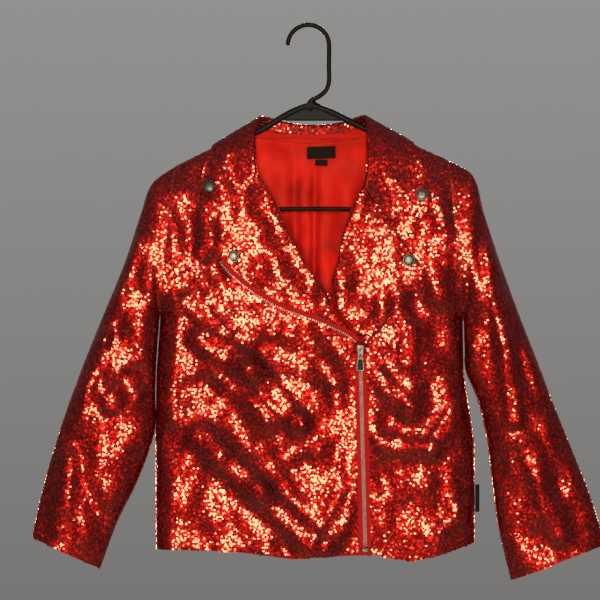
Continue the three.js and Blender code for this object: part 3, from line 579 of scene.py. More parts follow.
@dataclass
class HangingForm:
    """Depth of the jacket in front of and behind the hanger, over the front view."""

    body_depth: float = 31.0
    hem_depth: float = 25.0
    back_share: float = 0.88
    shoulder_round: float = 3.3
    side_round: float = 4.6
    sharpness: float = 3.0
    fold_fade: float = 16.0
    half_seam: float = 0.15
    right_underarm: float = -348.0
    left_underarm: float = -352.0
    ripple: float = 1.15
    zip: Zip = field(default_factory=Zip)
    shoulder: Table = (
        (-230, -202.5), (-160, -167), (-67, -120.5), (71, -115.8), (167, -159.5), (237, -190),
    )
    right_side: Table = (
        (-629, -184), (-500, -184.5), (-413, -183), (-348, -178.5), (-167, -159.7), (-100, -159.7),
    )
    left_side: Table = (
        (-621, 200.6), (-500, 200.2), (-460, 194), (-415, 187), (-352, 186), (-159.5, 166.7),
        (-100, 166.7),
    )
    front_folds: tuple[Fold, ...] = folds(
        (-128, -376, -66, -413, 6.5, 13), (-66, -413, -14, -476, 6.5, 13),
        (-14, -476, -11, -506, 4.5, 12), (-130, -492, -62, -558, 7.0, 14),
        (-62, -558, 11, -626, 6.5, 14), (20, -626, 56, -566, 5.0, 12),
        (-166, -335, -168, -470, 4.0, 11), (-142, -330, -104, -372, 4.0, 11),
        (-118, -216, -124, -270, 4.0, 11), (-46, -392, 44, -421, -5.0, 16),
        (-130, -440, -60, -500, -5.0, 18), (82, -420, 120, -463, 4.5, 11),
        (86, -499, 146, -509, 4.5, 11), (146, -509, 178, -462, 4.5, 11),
        (164, -604, 196, -577, 4.0, 11), (121, -362, 119, -404, 3.0, 11),
        (152, -200, 158, -325, 3.0, 14), (-214, -262, -250, -372, 5.0, 12),
        (-250, -372, -282, -470, 4.5, 12), (-290, -520, -300, -600, 3.5, 12),
        (-206, -420, -236, -452, -4.0, 12), (219, -266, 247, -472, 4.5, 10),
        (247, -328, 284, -440, 4.5, 10), (262, -500, 300, -610, 4.5, 12),
    )
    back_folds: tuple[Fold, ...] = folds(
        (-120, -330, -60, -430, 5.0, 16), (118, -320, 60, -440, 5.0, 16),
        (-150, -480, -70, -560, 5.0, 15), (150, -470, 80, -590, 5.0, 15),
        (0, -470, 6, -630, 5.0, 16), (-222, -280, -262, -420, 4.0, 12),
        (-276, -470, -300, -590, 4.0, 12), (232, -280, 270, -420, 4.0, 12),
        (284, -480, 316, -590, 4.0, 12),
    )

    def __post_init__(self) -> None:
        """Draws the seeded waves of the small ripples."""
        rng = np.random.default_rng(SEED)
        count = 34
        angle = rng.normal(0, 0.75, count)
        length = rng.uniform(28, 64, count)
        self.wave_x = np.cos(angle) * math.tau / length
        self.wave_z = np.sin(angle) * math.tau / length
        self.phase = rng.uniform(0, math.tau, (2, count))
        self.size = (length / 44) ** 1.3 / math.sqrt(count / 2)

    def shoulder_at(self, x: Array) -> Array:
        """Returns the height of the shoulder line."""
        return look_up(self.shoulder, x)

    def side_distance(self, side: tuple, underarm: float, x: Array, z: Array) -> Array:
        """Returns the distance from a side seam, which ends at the underarm."""
        edge = look_up(side, np.minimum(z, underarm))
        return np.hypot(x - edge, np.maximum(z - underarm, 0))

    def half_depth(self, x: Array, z: Array) -> Array:
        """Returns the smooth half depth, without folds."""
        x, z = arrays(x, z)
        drop = np.maximum(self.shoulder_at(x) - z, 0)
        right = self.side_distance(self.right_side, self.right_underarm, x, z)
        left = self.side_distance(self.left_side, self.left_underarm, x, z)
        limits = (
            self.shoulder_round * np.sqrt(drop),
            self.side_round * np.sqrt(right),
            self.side_round * np.sqrt(left),
            self.body_depth + (self.hem_depth - self.body_depth) * smoothstep(-z, 380, 640),
        )
        total = sum(np.maximum(limit, 1e-6) ** -self.sharpness for limit in limits)
        return total ** (-1 / self.sharpness)

    def ripples(self, x: Array, z: Array, back: bool) -> Array:
        """Returns the small uneven waves of the cloth."""
        phase = self.phase[int(back)]
        waves = np.cos(x[..., None] * self.wave_x + z[..., None] * self.wave_z + phase)
        return self.ripple * (waves * self.size).sum(-1)

    def relief(self, x: Array, z: Array, back: bool = False) -> Array:
        """Returns the height of folds and ripples at places of the front view."""
        x, z = arrays(x, z)
        height = self.ripples(x, z, back)
        for fold in self.back_folds if back else self.front_folds:
            height = height + fold.height(x, z)
        return height

    def front(self, x: Array, z: Array) -> Array:
        """Returns the front face's depth in front of the hanger's plane."""
        depth = self.half_depth(x, z)
        fade = np.minimum(depth / self.fold_fade, 1)
        near = np.where(z < -370, np.exp(-(((x - self.zip.x_at(z)) / self.zip.calm) ** 2)), 0)
        return self.half_seam + depth + self.relief(x, z) * fade * (1 - near)

    def back(self, x: Array, z: Array) -> Array:
        """Returns the back face's depth behind the hanger's plane."""
        depth = self.half_depth(x, z)
        fade = np.minimum(depth / self.fold_fade, 1)
        return self.half_seam + depth * self.back_share + self.relief(x, z, True) * fade

    def on_front(self, x: Array, z: Array, lift: float = 0.0) -> Array:
        """Returns points lifted off the front."""
        x, z = arrays(x, z)
        return np.stack([x, -self.front(x, z) - lift, z], -1)

    def on_back(self, x: Array, z: Array, lift: float = 0.0) -> Array:
        """Returns points lifted off the back."""
        x, z = arrays(x, z)
        return np.stack([x, self.back(x, z) + lift, z], -1)


# Sequins


@dataclass
class SequinField:
    """Rows of flat round sequins sewn over a surface.

    Attributes:
        radius: a sequin's radius.
        pitch: distance between sequins in a row.
        row: distance between rows.
        lift: height of a sequin's centre above the cloth.
        lean: tangent of the tilt that comes from lying on the next row.
        scatter: tangent of each sequin's own random tilt.
        sides: corners of a sequin.
        stray: how far a sequin may sit from its even place.
    """

    finishes: Finishes
    radius: float = 1.55
    pitch: float = 2.5
    row: float = 2.15
    lift: float = 0.5
    lean: float = 0.03
    scatter: float = 0.07
    sides: int = 6
    stray: float = 0.25

    def rows(self, points: Array, normals: Array, level: Array) -> list[tuple[Array, Array]]:
        """Cuts a surface into rows.

        Args:
            points: grid of the surface.
            normals: its unit normals.
            level: a value for each point that grows along the grid's first axis.

        Returns:
            For each row its points and normals in order.
        """
        wanted = np.arange(level.min() + self.row / 2, level.max(), self.row)
        both = np.concatenate([points, normals], axis=2)
        cut = np.full((len(wanted), points.shape[1], 6), np.nan)
        for column in range(points.shape[1]):
            key = level[:, column]
            for value in range(6):
                cut[:, column, value] = np.interp(
                    wanted, key, both[:, column, value], left=np.nan, right=np.nan)
        found = []
        for line in cut:
            good = ~np.isnan(line[:, 0])
            edges = np.flatnonzero(np.diff(np.concatenate([[0], good.astype(int), [0]])))
            for start, stop in zip(edges[::2], edges[1::2]):
                if stop - start > 1:
                    found.append((line[start:stop, :3], line[start:stop, 3:]))
        return found

    def places(self, rows: list[tuple[Array, Array]]) -> tuple[Array, Array, Array]:
        """Spaces sequins along rows.

        Args:
            rows: points and normals of each row.

        Returns:
            Centres, normals and row directions.
        """
        centres, normals, tangents = [], [], []
        for number, (points, ups) in enumerate(rows):
            length = length_along(points)
            inset = self.pitch * (0.2 + 0.5 * (number % 2))
            room = length[-1] - 2 * inset
            if room <= 0:
                continue
            at = inset + np.linspace(0, room, max(round(room / self.pitch), 1) + 1)
            centres.append(sample(at, length, points))
            tangents.append(sample(at + 0.6, length, points) - sample(at - 0.6, length, points))
            normals.append(sample(at, length, ups))
        return np.concatenate(centres), np.concatenate(normals), np.concatenate(tangents)

    def sew(
        self, name: str, points: Array, outward: Array, level: Array, seed: int
    ) -> Piece:
        """Makes the sequins of one piece of cloth.

        Args:
            name: the new object's name.
            points: grid of the cloth's outer face.
            outward: outward unit normals of the grid.
            level: a value for each point that grows along the grid's first axis.
            seed: the piece's own seed.

        Returns:
            The joined sequins.
        """
        rng = np.random.default_rng(SEED + seed)
        centres, up, along = self.places(self.rows(points, outward, level))
        count = len(centres)
        up = unit(up)
        along = unit(along - up * (along * up).sum(1, keepdims=True))
        across = np.cross(up, along)
        tilt = rng.normal(0, self.scatter, (count, 2))
        tilt[:, 1] += self.lean
        facing = unit(up + along * tilt[:, :1] + across * tilt[:, 1:])
        first = unit(along - facing * (along * facing).sum(1, keepdims=True))
        second = np.cross(facing, first)
        astray = rng.uniform(-self.stray, self.stray, (count, 2))
        centres = centres + along * astray[:, :1] + across * astray[:, 1:]
        centres = centres + up * (self.lift + rng.uniform(-0.12, 0.12, (count, 1)))
        radius = self.radius * rng.uniform(0.94, 1.04, (count, 1))
        corners = np.arange(self.sides) * math.tau / self.sides
        angles = rng.uniform(0, math.tau, (count, 1)) + corners
        ring = (
            centres[:, None]
            + first[:, None] * (radius * np.cos(angles))[..., None]
            + second[:, None] * (radius * np.sin(angles))[..., None]
        )
        faces = np.arange(count * self.sides).reshape(count, self.sides)
        obj = make_mesh(name, ring.reshape(-1, 3), faces, [self.finishes.sequin], smooth=False)
        self.paint(obj, rng, count)
        self.chart(obj, angles)
        return obj

    def paint(self, obj: Piece, rng: np.random.Generator, count: int) -> None:
        """Gives each sequin a tone of its own."""
        tone = np.clip(rng.normal(0.5, 0.21, count), 0, 1)
        layer = obj.data.attributes.new("tone", "FLOAT", "FACE")
        layer.data.foreach_set("value", tone.astype(np.float32))

    def chart(self, obj: Piece, angles: Array) -> None:
        """Lays the sequins out in a square chart, so that each has its own place on a map."""
        count = len(angles)
        side = math.ceil(math.sqrt(count))
        number = np.arange(count)
        cell = np.stack([number % side, number // side], 1)[:, None]
        spread = np.stack([np.cos(angles), np.sin(angles)], -1) * 0.46
        places = (cell + 0.5 + spread) / side
        layer = obj.data.uv_layers.new(name="OFBake")
        layer.uv.foreach_set("vector", places.reshape(-1).astype(np.float32))


# Cloth pieces


class Ease(Enum):
    """How sections crowd towards a panel's edges."""

    BOTH = "both"
    START = "start"

    def apply(self, u: Array) -> Array:
        """Returns eased places."""
        if self is Ease.BOTH:
            return (1 - np.cos(math.pi * u)) / 2
        return 1 - np.cos(math.pi * u / 2)


@dataclass
class SequinPiece:
    """Sequin cloth: a thin lined shell and the sequins on it."""

    form: HangingForm
    finishes: Finishes
    sequins: SequinField
    cover: float = 0.7
    cloth: float = 1.2

    def dress(
        self, name: str, outer: Array, outward: Array, level: Array, nodes: Sequence[str],
        flat: Pair, area: float, seed: int, ring: bool = False,
    ) -> None:
        """Args:
            name: the piece's plain name.
            outer: grid of the piece's outermost face.
            outward: a rough outward vector for each point.
            level: a value for each point that grows from row to row.
            nodes: CAD nodes that the piece replaces.
            flat: not used.
            area: not used.
            seed: the sequins' seed.
            ring: whether rows close on themselves.
        """
        if ring:
            around = (np.concatenate([grid[:, -1:], closed(grid)], 1) for grid in (outer, outward))
            normals = grid_normals(*around)[:, 1:-1]
        else:
            normals = grid_normals(outer, outward)
        face = outer - normals * self.cover
        lining = outer - normals * (self.cover + self.cloth)
        materials = [self.finishes.ground, self.finishes.satin]
        cloth = shell(f"cloth_{name}", face, lining, materials, ring)
        settle(cloth, nodes)
        if ring:
            face, normals, level = closed(face), closed(normals), closed(level)
        sequins = self.sequins.sew(f"sequins_{name}", face, normals, level, seed)
        settle(sequins, ())
        edges = np.diff(outer, axis=0)[:, 1:], np.diff(outer, axis=1)[1:]
        measured = np.linalg.norm(np.cross(*edges), axis=2).sum() * MM**2
        log.info("%s: %d sequins, %.4f square metres", name, len(sequins.data.polygons), measured)


@dataclass
class BodyPanels(SequinPiece):
    """Back and two fronts."""

    rows: int = 150
    back_columns: int = 130
    right_columns: int = 96
    left_columns: int = 66
    hem_guess: float = -630.0
    top_guess: float = -150.0
    hem: Table = (
        (-184, -628), (-82, -630), (-42, -635), (17, -637), (65, -630), (90, -637), (125, -642),
        (157, -635), (201, -620),
    )
    back_hem: Table = ((-184, -628), (-90, -634), (-16, -643), (60, -638), (130, -636), (201, -620))
    back_neck: Table = ((-66.5, -120.8), (-40, -127.5), (2, -131), (44, -127.5), (70.5, -116.2))
    right_roll: Table = (
        (-380, 54.5), (-363, 45.5), (-352, 36), (-333, 28), (-318, 21), (-291.4, -2.5),
        (-252.6, -21), (-235.4, -33.2), (-208.6, -44.3), (-186.5, -57.7), (-162, -63.8),
        (-119, -65),
    )
    left_roll: Table = (
        (-384, 73), (-362, 71), (-350, 50), (-343, 38), (-333, 32), (-314, 25), (-293, 35.2),
        (-266, 38.8), (-248, 43.7), (-229, 51), (-211, 58.2), (-186.5, 68.2), (-150, 70.6),
        (-119, 70),
    )

    def places(
        self, start: Callable, end: Callable, hem: Callable, top: Callable, share: Array
    ) -> tuple[Array, Array]:
        """Returns the front-view places of a panel's grid.

        Args:
            start: place across of the first edge at a height.
            end: place across of the last edge at a height.
            hem: height of the hem at a place across.
            top: height of the top edge at a place across.
            share: eased places across, 0 to 1.

        Returns:
            Grids of x and z.
        """
        low, high = np.full_like(share, self.hem_guess), np.full_like(share, self.top_guess)

        def across(z: Array) -> Array:
            """Returns places across at heights."""
            return start(z) + (end(z) - start(z)) * share

        for _ in range(12):
            low, high = hem(across(low)), top(across(high))
        v = np.sin(math.pi / 2 * np.linspace(0, 1, self.rows))[:, None]
        z = low + (high - low) * v
        return across(z), z

    def make_back(self) -> None:
        """Makes the back."""
        form = self.form
        neck = min(self.back_neck)[0], max(self.back_neck)[0]

        def top(x: Array) -> Array:
            """Returns the height of the shoulders and the neckline."""
            inside = (x > neck[0]) & (x < neck[1])
            return np.where(inside, look_up(self.back_neck, x), form.shoulder_at(x))

        share = Ease.BOTH.apply(np.linspace(0, 1, self.back_columns))
        x, z = self.places(
            lambda h: look_up(form.right_side, h), lambda h: look_up(form.left_side, h),
            lambda w: look_up(self.back_hem, w), top, share)
        outer = form.on_back(x, z)
        outward = np.broadcast_to(BACKWARD, outer.shape)
        self.dress("back", outer, outward, z, ["back_panel"], (0.40, 0.52), 0.190, 1)

    def make_front(
        self, name: str, side: tuple, inner: Callable, columns: int,
        flat: Pair, area: float, seed: int,
    ) -> None:
        """Makes one front.

        Args:
            name: the panel's name, which is its node's too.
            side: the side edge's table.
            inner: place across of the front edge at a height.
            columns: points in a row.
            flat: cut width and length in metres.
            area: flat area in square metres.
            seed: the sequins' seed.
        """
        share = Ease.START.apply(np.linspace(0, 1, columns))
        x, z = self.places(
            lambda h: look_up(side, h), inner, lambda w: look_up(self.hem, w),
            self.form.shoulder_at, share)
        outer = self.form.on_front(x, z)
        outward = np.broadcast_to(FORWARD, outer.shape)
        self.dress(name, outer, outward, z, [name], flat, area, seed)

    def make(self) -> None:
        """Makes the three panels."""
        line = self.form.zip
        room = line.width / 2 + line.tape + 0.5
        self.make_back()
        self.make_front(
            "front_right", self.form.right_side,
            lambda h: np.where(h > -380, look_up(self.right_roll, h), line.x_at(h) - room),
            self.right_columns, (0.26, 0.52), 0.104, 2)
        self.make_front(
            "front_left", self.form.left_side,
            lambda h: np.where(h > -384, look_up(self.left_roll, h), line.x_at(h) + room),
            self.left_columns, (0.18, 0.53), 0.067, 3)


@dataclass
class Sleeves(SequinPiece):
    """The two sleeves, each one tube from the armhole to the cuff.

    Attributes:
        sections: rings of points along a sleeve.
        points: points in a ring.
        blend: share of the length over which the armhole's seam opens to a tube.
        right: the right sleeve's sections: outer corner, inner corner and half depth.
        left: the left sleeve's sections.
    """

    sections: int = 150
    points: int = 108
    blend: float = 0.22
    right: Table = (
        (-160.3, -167.6, -179.2, -348.3, 24), (-188, -188.5, -179.6, -353, 25),
        (-203, -228, -180.2, -362, 25), (-220, -280, -181.4, -378, 24),
        (-243.5, -338, -183.2, -405, 23), (-266, -393, -184.3, -440, 22),
        (-287.5, -450, -185.4, -488, 21), (-306, -506, -206, -547, 20),
        (-322, -563, -230, -596, 18), (-333, -614, -250.8, -652, 15),
    )
    left: Table = (
        (167.3, -160.1, 186.6, -352.3, 24), (197, -178, 187.0, -357, 25),
        (212, -226, 187.3, -368, 25), (230.5, -282, 187.8, -386, 24),
        (254, -347, 189.4, -415, 23), (276, -403, 203, -448, 22),
        (297, -458, 214.6, -497, 21), (318, -510, 221, -548, 20),
        (338, -560, 229, -604, 19), (357.5, -622, 243.7, -666, 17),
    )

    def grid(self, table: Table) -> Array:
        """Returns a sleeve's outer face as rings of points.

        Args:
            table: the sleeve's sections.

        Returns:
            A grid, a row for each ring.
        """
        form = self.form
        v = np.linspace(0, 1, self.sections)
        row = centripetal(np.array(table, float), v)[:, :, None]
        angle = np.linspace(0, math.tau, self.points, endpoint=False)[None]
        across = (1 - np.cos(angle)) / 2
        x = row[:, 0] + (row[:, 2] - row[:, 0]) * across
        z = row[:, 1] + (row[:, 3] - row[:, 1]) * across
        sine = np.sin(angle)
        share = np.where(sine > 0, 1.0, form.back_share)
        tube = row[:, 4] * np.abs(sine) * share
        seamed = form.half_depth(x, z) * share
        blend = smoothstep(v, 0, self.blend)[:, None]
        fade = np.minimum(tube / form.fold_fade, 1) * blend
        fold = np.where(sine > 0, form.relief(x, z), form.relief(x, z, True)) * fade
        depth = seamed + (tube - seamed) * blend + fold
        return np.stack([x, np.where(sine > 0, -depth, depth), z], -1)

    def make_one(
        self, name: str, table: Table, nodes: Sequence[str], slant: float,
        flat: Pair, area: float, seed: int,
    ) -> None:
        """Makes one sleeve.

        Args:
            name: the sleeve's name.
            table: its sections.
            nodes: the nodes that it replaces.
            slant: how far its axis leans sideways for each unit down.
            flat: cut width and length in metres.
            area: flat area in square metres.
            seed: the sequins' seed.
        """
        outer = self.grid(table)
        outward = outer - outer.mean(1, keepdims=True)
        level = rising(-outer[..., 2] + outer[..., 0] * slant)
        self.dress(name, outer, outward, level, nodes, flat, area, seed, ring=True)

    def make(self) -> None:
        """Makes both sleeves."""
        self.make_one("sleeve_right", self.right, ["sleeve_right_front", "sleeve_right_back"],
                      -0.32, (0.24, 0.50), 0.087, 4)
        nodes = [f"sleeve_left_{half}_{part}"
                 for half in ("front", "back") for part in ("upper", "lower")]
        self.make_one("sleeve_left", self.left, nodes, 0.36, (0.25, 0.52), 0.092, 5)


@dataclass
class Collar(SequinPiece):
    """The collar: stand, turned fold and leaf, from gorge to gorge.

    Attributes:
        segments: points along the collar.
        stand_rows: rows of points up the stand.
        turn_rows: rows over the fold.
        leaf_rows: rows down the leaf.
        smoothed: first row that is smoothed along the collar.
        fold_half: half width of the fold.
        fold_rise: height of its rounding.
        dip: where down the leaf it hangs most, as a share.
        leaf_lift: how far the leaf stays above the body.
        edge_rise: how far its edge stands off more than the rest.
    """

    segments: int = 210
    stand_rows: int = 8
    turn_rows: int = 9
    leaf_rows: int = 34
    smoothed: int = 25
    fold_half: float = 2.7
    fold_rise: float = 2.2
    dip: float = 0.36
    leaf_lift: float = 3.0
    edge_rise: float = 1.8

    def table(self) -> list[tuple[Array, Array, Array, float]]:
        """Returns rows of seam, fold and edge points and the leaf's drop."""
        front, back = self.form.on_front, self.form.on_back

        def at(*point: float) -> Array:
            """Returns a point."""
            return np.array(point, float)

        return [
            (front(-66, -180, 0.5), front(-62, -178.6, 3), front(-129, -197.5, 2.6), 37),
            (front(-68, -168, 0.5), front(-63.4, -167, 3), front(-129.4, -191, 2.6), 19),
            (front(-69, -150, 0.5), front(-64, -148, 3), front(-126, -171, 2.6), 4),
            (at(-68.5, -12.5, -131), at(-63.5, -15, -127), front(-119, -153.5, 2.6), 0),
            (at(-64.5, -1.5, -119.4), at(-57.5, -3, -109.8), at(-112.6, 0, -139.8), 0),
            (at(-57, 5.6, -120.6), at(-49, 7.5, -108.4), back(-101, -156, 2.6), 0),
            (at(-34, 7.6, -126.4), at(-30, 10.4, -113.5), back(-66, -174, 2.6), 0),
            (at(2, 7.7, -129.8), at(2, 11.2, -117), back(2, -181, 2.6), 0),
            (at(38, 7.6, -125.9), at(38, 10.4, -114.5), back(72, -174, 2.6), 0),
            (at(61, 5.6, -119), at(58, 7.5, -108.4), back(110, -158, 2.6), 0),
            (at(69, -1.5, -114.6), at(66.5, -3, -107.8), at(123.4, 0, -136.2), 0),
            (at(73, -13.5, -128), at(69.5, -16, -126), front(131, -156, 2.6), 0),
            (front(74.5, -152, 0.5), front(70.6, -152, 3), front(139, -178, 2.6), 4),
            (front(74, -174, 0.5), front(70, -173, 3), front(146, -200, 2.6), 18),
            (front(70, -194.5, 0.5), front(66, -193.4, 3), front(147.4, -211, 2.6), 33),
        ]

    def make(self) -> None:
        """Makes the collar."""
        t = np.linspace(0, 1, self.segments)
        rows = self.table()
        seam, fold, edge = (centripetal(np.array([r[k] for r in rows]), t) for k in range(3))
        drop = np.interp(t, np.linspace(0, 1, len(rows)), [r[3] for r in rows])[:, None]
        up = unit(fold - (seam + edge) / 2)
        out = edge - seam
        out = unit(out - up * (out * up).sum(1, keepdims=True))
        columns = [seam + (fold - out * self.fold_half - up * 2 - seam) * q
                   for q in np.linspace(0, 0.9, self.stand_rows)]
        for angle in np.linspace(0, math.pi, self.turn_rows):
            columns.append(fold - out * self.fold_half * math.cos(angle)
                           - up * self.fold_rise * (1 - math.sin(angle)))
        foot = columns[-1]
        for q in np.linspace(0.03, 1, self.leaf_rows):
            columns.append(self.leaf(foot + (edge - foot) * q, drop, q))
        outer = np.stack(columns, 0)
        leaf = outer[self.smoothed:]
        leaf[:, 1:-1, 1] = (leaf[:, :-2, 1] + 2 * leaf[:, 1:-1, 1] + leaf[:, 2:, 1]) / 4
        raised = self.edge_rise * np.linspace(0, 1, len(leaf)) ** 10
        leaf[..., 1] += np.sign(leaf[..., 1]) * raised[:, None]
        turned = self.stand_rows + self.turn_rows
        outward = np.zeros_like(outer)
        outward[:self.stand_rows] = -out
        outward[self.stand_rows:turned] = up
        outward[turned:] = out + up * 0.6
        steps = np.linalg.norm(np.diff(outer, axis=0), axis=2).mean(1)
        level = np.concatenate([[0], np.cumsum(steps)])[:, None] + np.zeros(self.segments)
        self.dress("collar", outer, outward, level, ["collar"], (0.46, 0.10), 0.030, 6)

    def leaf(self, points: Array, drop: Array, q: float) -> Array:
        """Lets the leaf's middle hang and keeps it clear of the body.

        Args:
            points: a line of points along the collar.
            drop: how far the leaf's middle hangs at each.
            q: the line's place from the fold to the outer edge.

        Returns:
            The moved points.
        """
        dip = q / self.dip if q < self.dip else (1 - q) / (1 - self.dip)
        points = points - np.array([0, 0, 1.0]) * drop * dip
        x, y, z = points.T
        near = z < self.form.shoulder_at(x) + self.leaf_lift
        front = -self.form.front(x, z - self.leaf_lift) - self.leaf_lift
        back = self.form.back(x, z - self.leaf_lift) + self.leaf_lift
        clear = np.where(y < 0, np.minimum(y, front), np.maximum(y, back))
        return np.stack([x, np.where(near, clear, y), z], -1)


@dataclass
class Lapels(SequinPiece):
    """The two lapels, which turn at the roll line and lie on the fronts.

    Attributes:
        sections: rows of points along a lapel.
        across: points in a row.
        lift: height above the front at the edge.
        roll_lift: how much higher the roll line is.
        turn: how far the cloth turns over the roll line.
        right: the right lapel's sections: a point of the roll line and one of the edge.
        left: the left lapel's sections.
        half_zip: the open half of the zip, along the right lapel's edge.
    """

    sections: int = 120
    across: int = 40
    lift: float = 2.9
    roll_lift: float = 1.6
    turn: float = 2.2
    right: Table = (
        (-61.6, -180.2, -83.2, -223.6), (-52, -196, -96.5, -250.5),
        (-42.8, -211, -108, -273.4), (-35.4, -229, -95.4, -282.8),
        (-26.6, -246, -83.2, -297.8), (-17, -263, -56.8, -317.8),
        (-4.5, -288, -30.4, -332.4), (14, -313, -3, -342.6),
        (26, -335, 18, -350.4), (36, -352.4, 34, -357.4),
    )
    left: Table = (
        (65.5, -195, 96, -239.4), (57.4, -214, 116, -264),
        (50.6, -231, 134.6, -288), (44.6, -247, 130.4, -302),
        (40.2, -265, 120, -311), (37.4, -284, 111, -321.6),
        (31, -305, 100, -340), (36, -337, 89.6, -359),
        (53, -362, 77.6, -372), (63.4, -378, 69.5, -381),
    )
    half_zip: tuple = (
        (-107.2, -283), (-102.6, -290), (-88.9, -304), (-61, -325), (-33.7, -340), (-6, -350),
        (21.4, -360.5), (40, -369), (50, -375), (56, -380.6),
    )

    def zip_curve(self, count: int) -> Array:
        """Returns evenly spaced front-view points of the open half zip."""
        line = centripetal(np.array(self.half_zip, float), np.linspace(0, 1, 400))
        length = length_along(line)
        return sample(np.linspace(0, length[-1], count), length, line)

    def grid(self, table: Table, rise: float) -> Array:
        """Returns a lapel's outer face, a row for each section.

        Args:
            table: the lapel's sections.
            rise: how far its edge stands off more than the rest.

        Returns:
            A grid, with the turned roll in its first columns.
        """
        at = np.linspace(0, len(table) - 1, self.sections)
        row = sample(at, np.arange(len(table)), np.array(table, float)).T
        u = np.linspace(0, 1, self.across)[None]
        x = row[0][:, None] + (row[2] - row[0])[:, None] * u
        z = row[1][:, None] + (row[3] - row[1])[:, None] * u
        face = self.form.on_front(x, z)
        face[..., 1] -= self.lift + self.roll_lift * (1 - u) ** 2 + rise * u**10
        away = np.stack([row[0] - row[2], row[1] - row[3]], 1)
        length = np.linalg.norm(away, axis=1, keepdims=True)
        away = away / np.maximum(length, 1e-6)
        reach = self.turn * np.clip(length[:, 0] / 30, 0.3, 1)
        high = self.lift + self.roll_lift
        turned = []
        for angle in np.linspace(math.pi, 0, 8)[:-1]:
            point = face[:, 0].copy()
            point[:, 0] += away[:, 0] * reach * math.sin(angle)
            point[:, 1] += high * (1 - math.cos(angle)) / 2 - 0.5 * (1 - math.cos(angle)) / 2
            point[:, 2] += away[:, 1] * reach * math.sin(angle)
            turned.append(point)
        return np.concatenate([np.stack(turned, 1), face], 1)

    def make_one(
        self, name: str, table: Table, rise: float, flat: Pair,
        area: float, seed: int,
    ) -> None:
        """Makes one lapel.

        Args:
            name: the lapel's name, which is its node's too.
            table: its sections.
            rise: how far its edge stands off more than the rest.
            flat: cut width and length in metres.
            area: flat area in square metres.
            seed: the sequins' seed.
        """
        outer = self.grid(table, rise)
        outward = np.broadcast_to(FORWARD, outer.shape)
        level = rising(-outer[..., 2])
        self.dress(name, outer, outward, level, [name], flat, area, seed)

    def make(self) -> None:
        """Makes both lapels."""
        self.make_one("lapel_right", self.right, 0.4, (0.11, 0.19), 0.0112, 7)
        self.make_one("lapel_left", self.left, 1.8, (0.11, 0.19), 0.0117, 8)


# Inside of the back


@dataclass
class NeckInside:
    """Satin lining, neck binding, plain black label and size tab.

    Attributes:
        face: distance of the lining's face from the back's outer face.
        satin: thickness of the satin.
        gather_depth: depth of the lining's gathers.
        gathers: number of gathers.
        gap: room between two layers.
    """

    form: HangingForm
    finishes: Finishes
    face: float = 2.5
    satin: float = 0.6
    gather_depth: float = 7.0
    gathers: int = 7
    gap: float = 0.4

    def sheet(
        self, name: str, node: str, x: Pair, z: Pair,
        lift: float, thick: float, counts: tuple[int, int], material: Material,
        slot: str, dip: float = 0.0, gathers: float = 0.0, tilt: float = 0.0,
    ) -> Piece:
        """Makes a thin sheet on the inside of the back.

        Args:
            name: the piece's name.
            node: the node that it replaces.
            x: its first and last place across.
            z: its lowest and highest place.
            lift: distance of its face from the back's outer face.
            thick: thickness.
            counts: points across and up.
            material: its material.
            slot: not used.
            dip: how far its top dips in the middle.
            gathers: depth of the gathers that fan out from its top.
            tilt: difference in height between its two sides.

        Returns:
            The linked object.
        """
        u = np.linspace(0, 1, counts[0])[None]
        v = np.linspace(0, 1, counts[1])[:, None]
        across = x[0] + (x[1] - x[0]) * u + 0 * v
        up = z[0] + (z[1] - z[0]) * v + tilt * (u - 0.5) - dip * (1 - (2 * u - 1) ** 2) * v
        depth = self.form.back(across, up) - lift
        fan = (u - 0.5) * (1 + 0.35 * (1 - v))
        wave = np.sin(fan * math.tau * self.gathers / 2 + np.sin(fan * 9) * 1.4)
        depth = depth - gathers * ((1 + wave) / 2) ** 2 * (0.15 + 0.85 * smoothstep(1 - v, 0, 0.3))
        face = np.stack([across, depth - thick, up], -1)
        behind = np.stack([across, depth, up], -1)
        obj = shell(name, face, behind, [material])
        return settle(obj, [node])

    def make(self) -> None:
        """Makes the pieces inside the neck."""
        finishes = self.finishes
        lining = self.sheet(
            "lining_satin", "lining_back", (-66, 70), (-400, -132.6), self.face, self.satin,
            (90, 110), finishes.satin, "satin_lining", dip=6.5, gathers=self.gather_depth)
        binding = self.sheet(
            "neck_binding", "neck_tape", (-63, 67), (-134, -128.6), self.face + self.gap, 1.2,
            (90, 6), finishes.binding, "satin_lining")
        lift = self.face + self.satin + 0.5 * self.gather_depth + self.gap
        label = self.sheet(
            "label_plain", "neck_label", (-1.8, 32.6), (-158, -143.5), lift, 0.7,
            (24, 12), finishes.label, "label_black", tilt=1.2)
        tab = self.sheet(
            "size_tab_plain", "size_tab", (8, 23), (-166.5, -159.2), lift, 0.6,
            (12, 8), finishes.label, "label_black")


# Zip


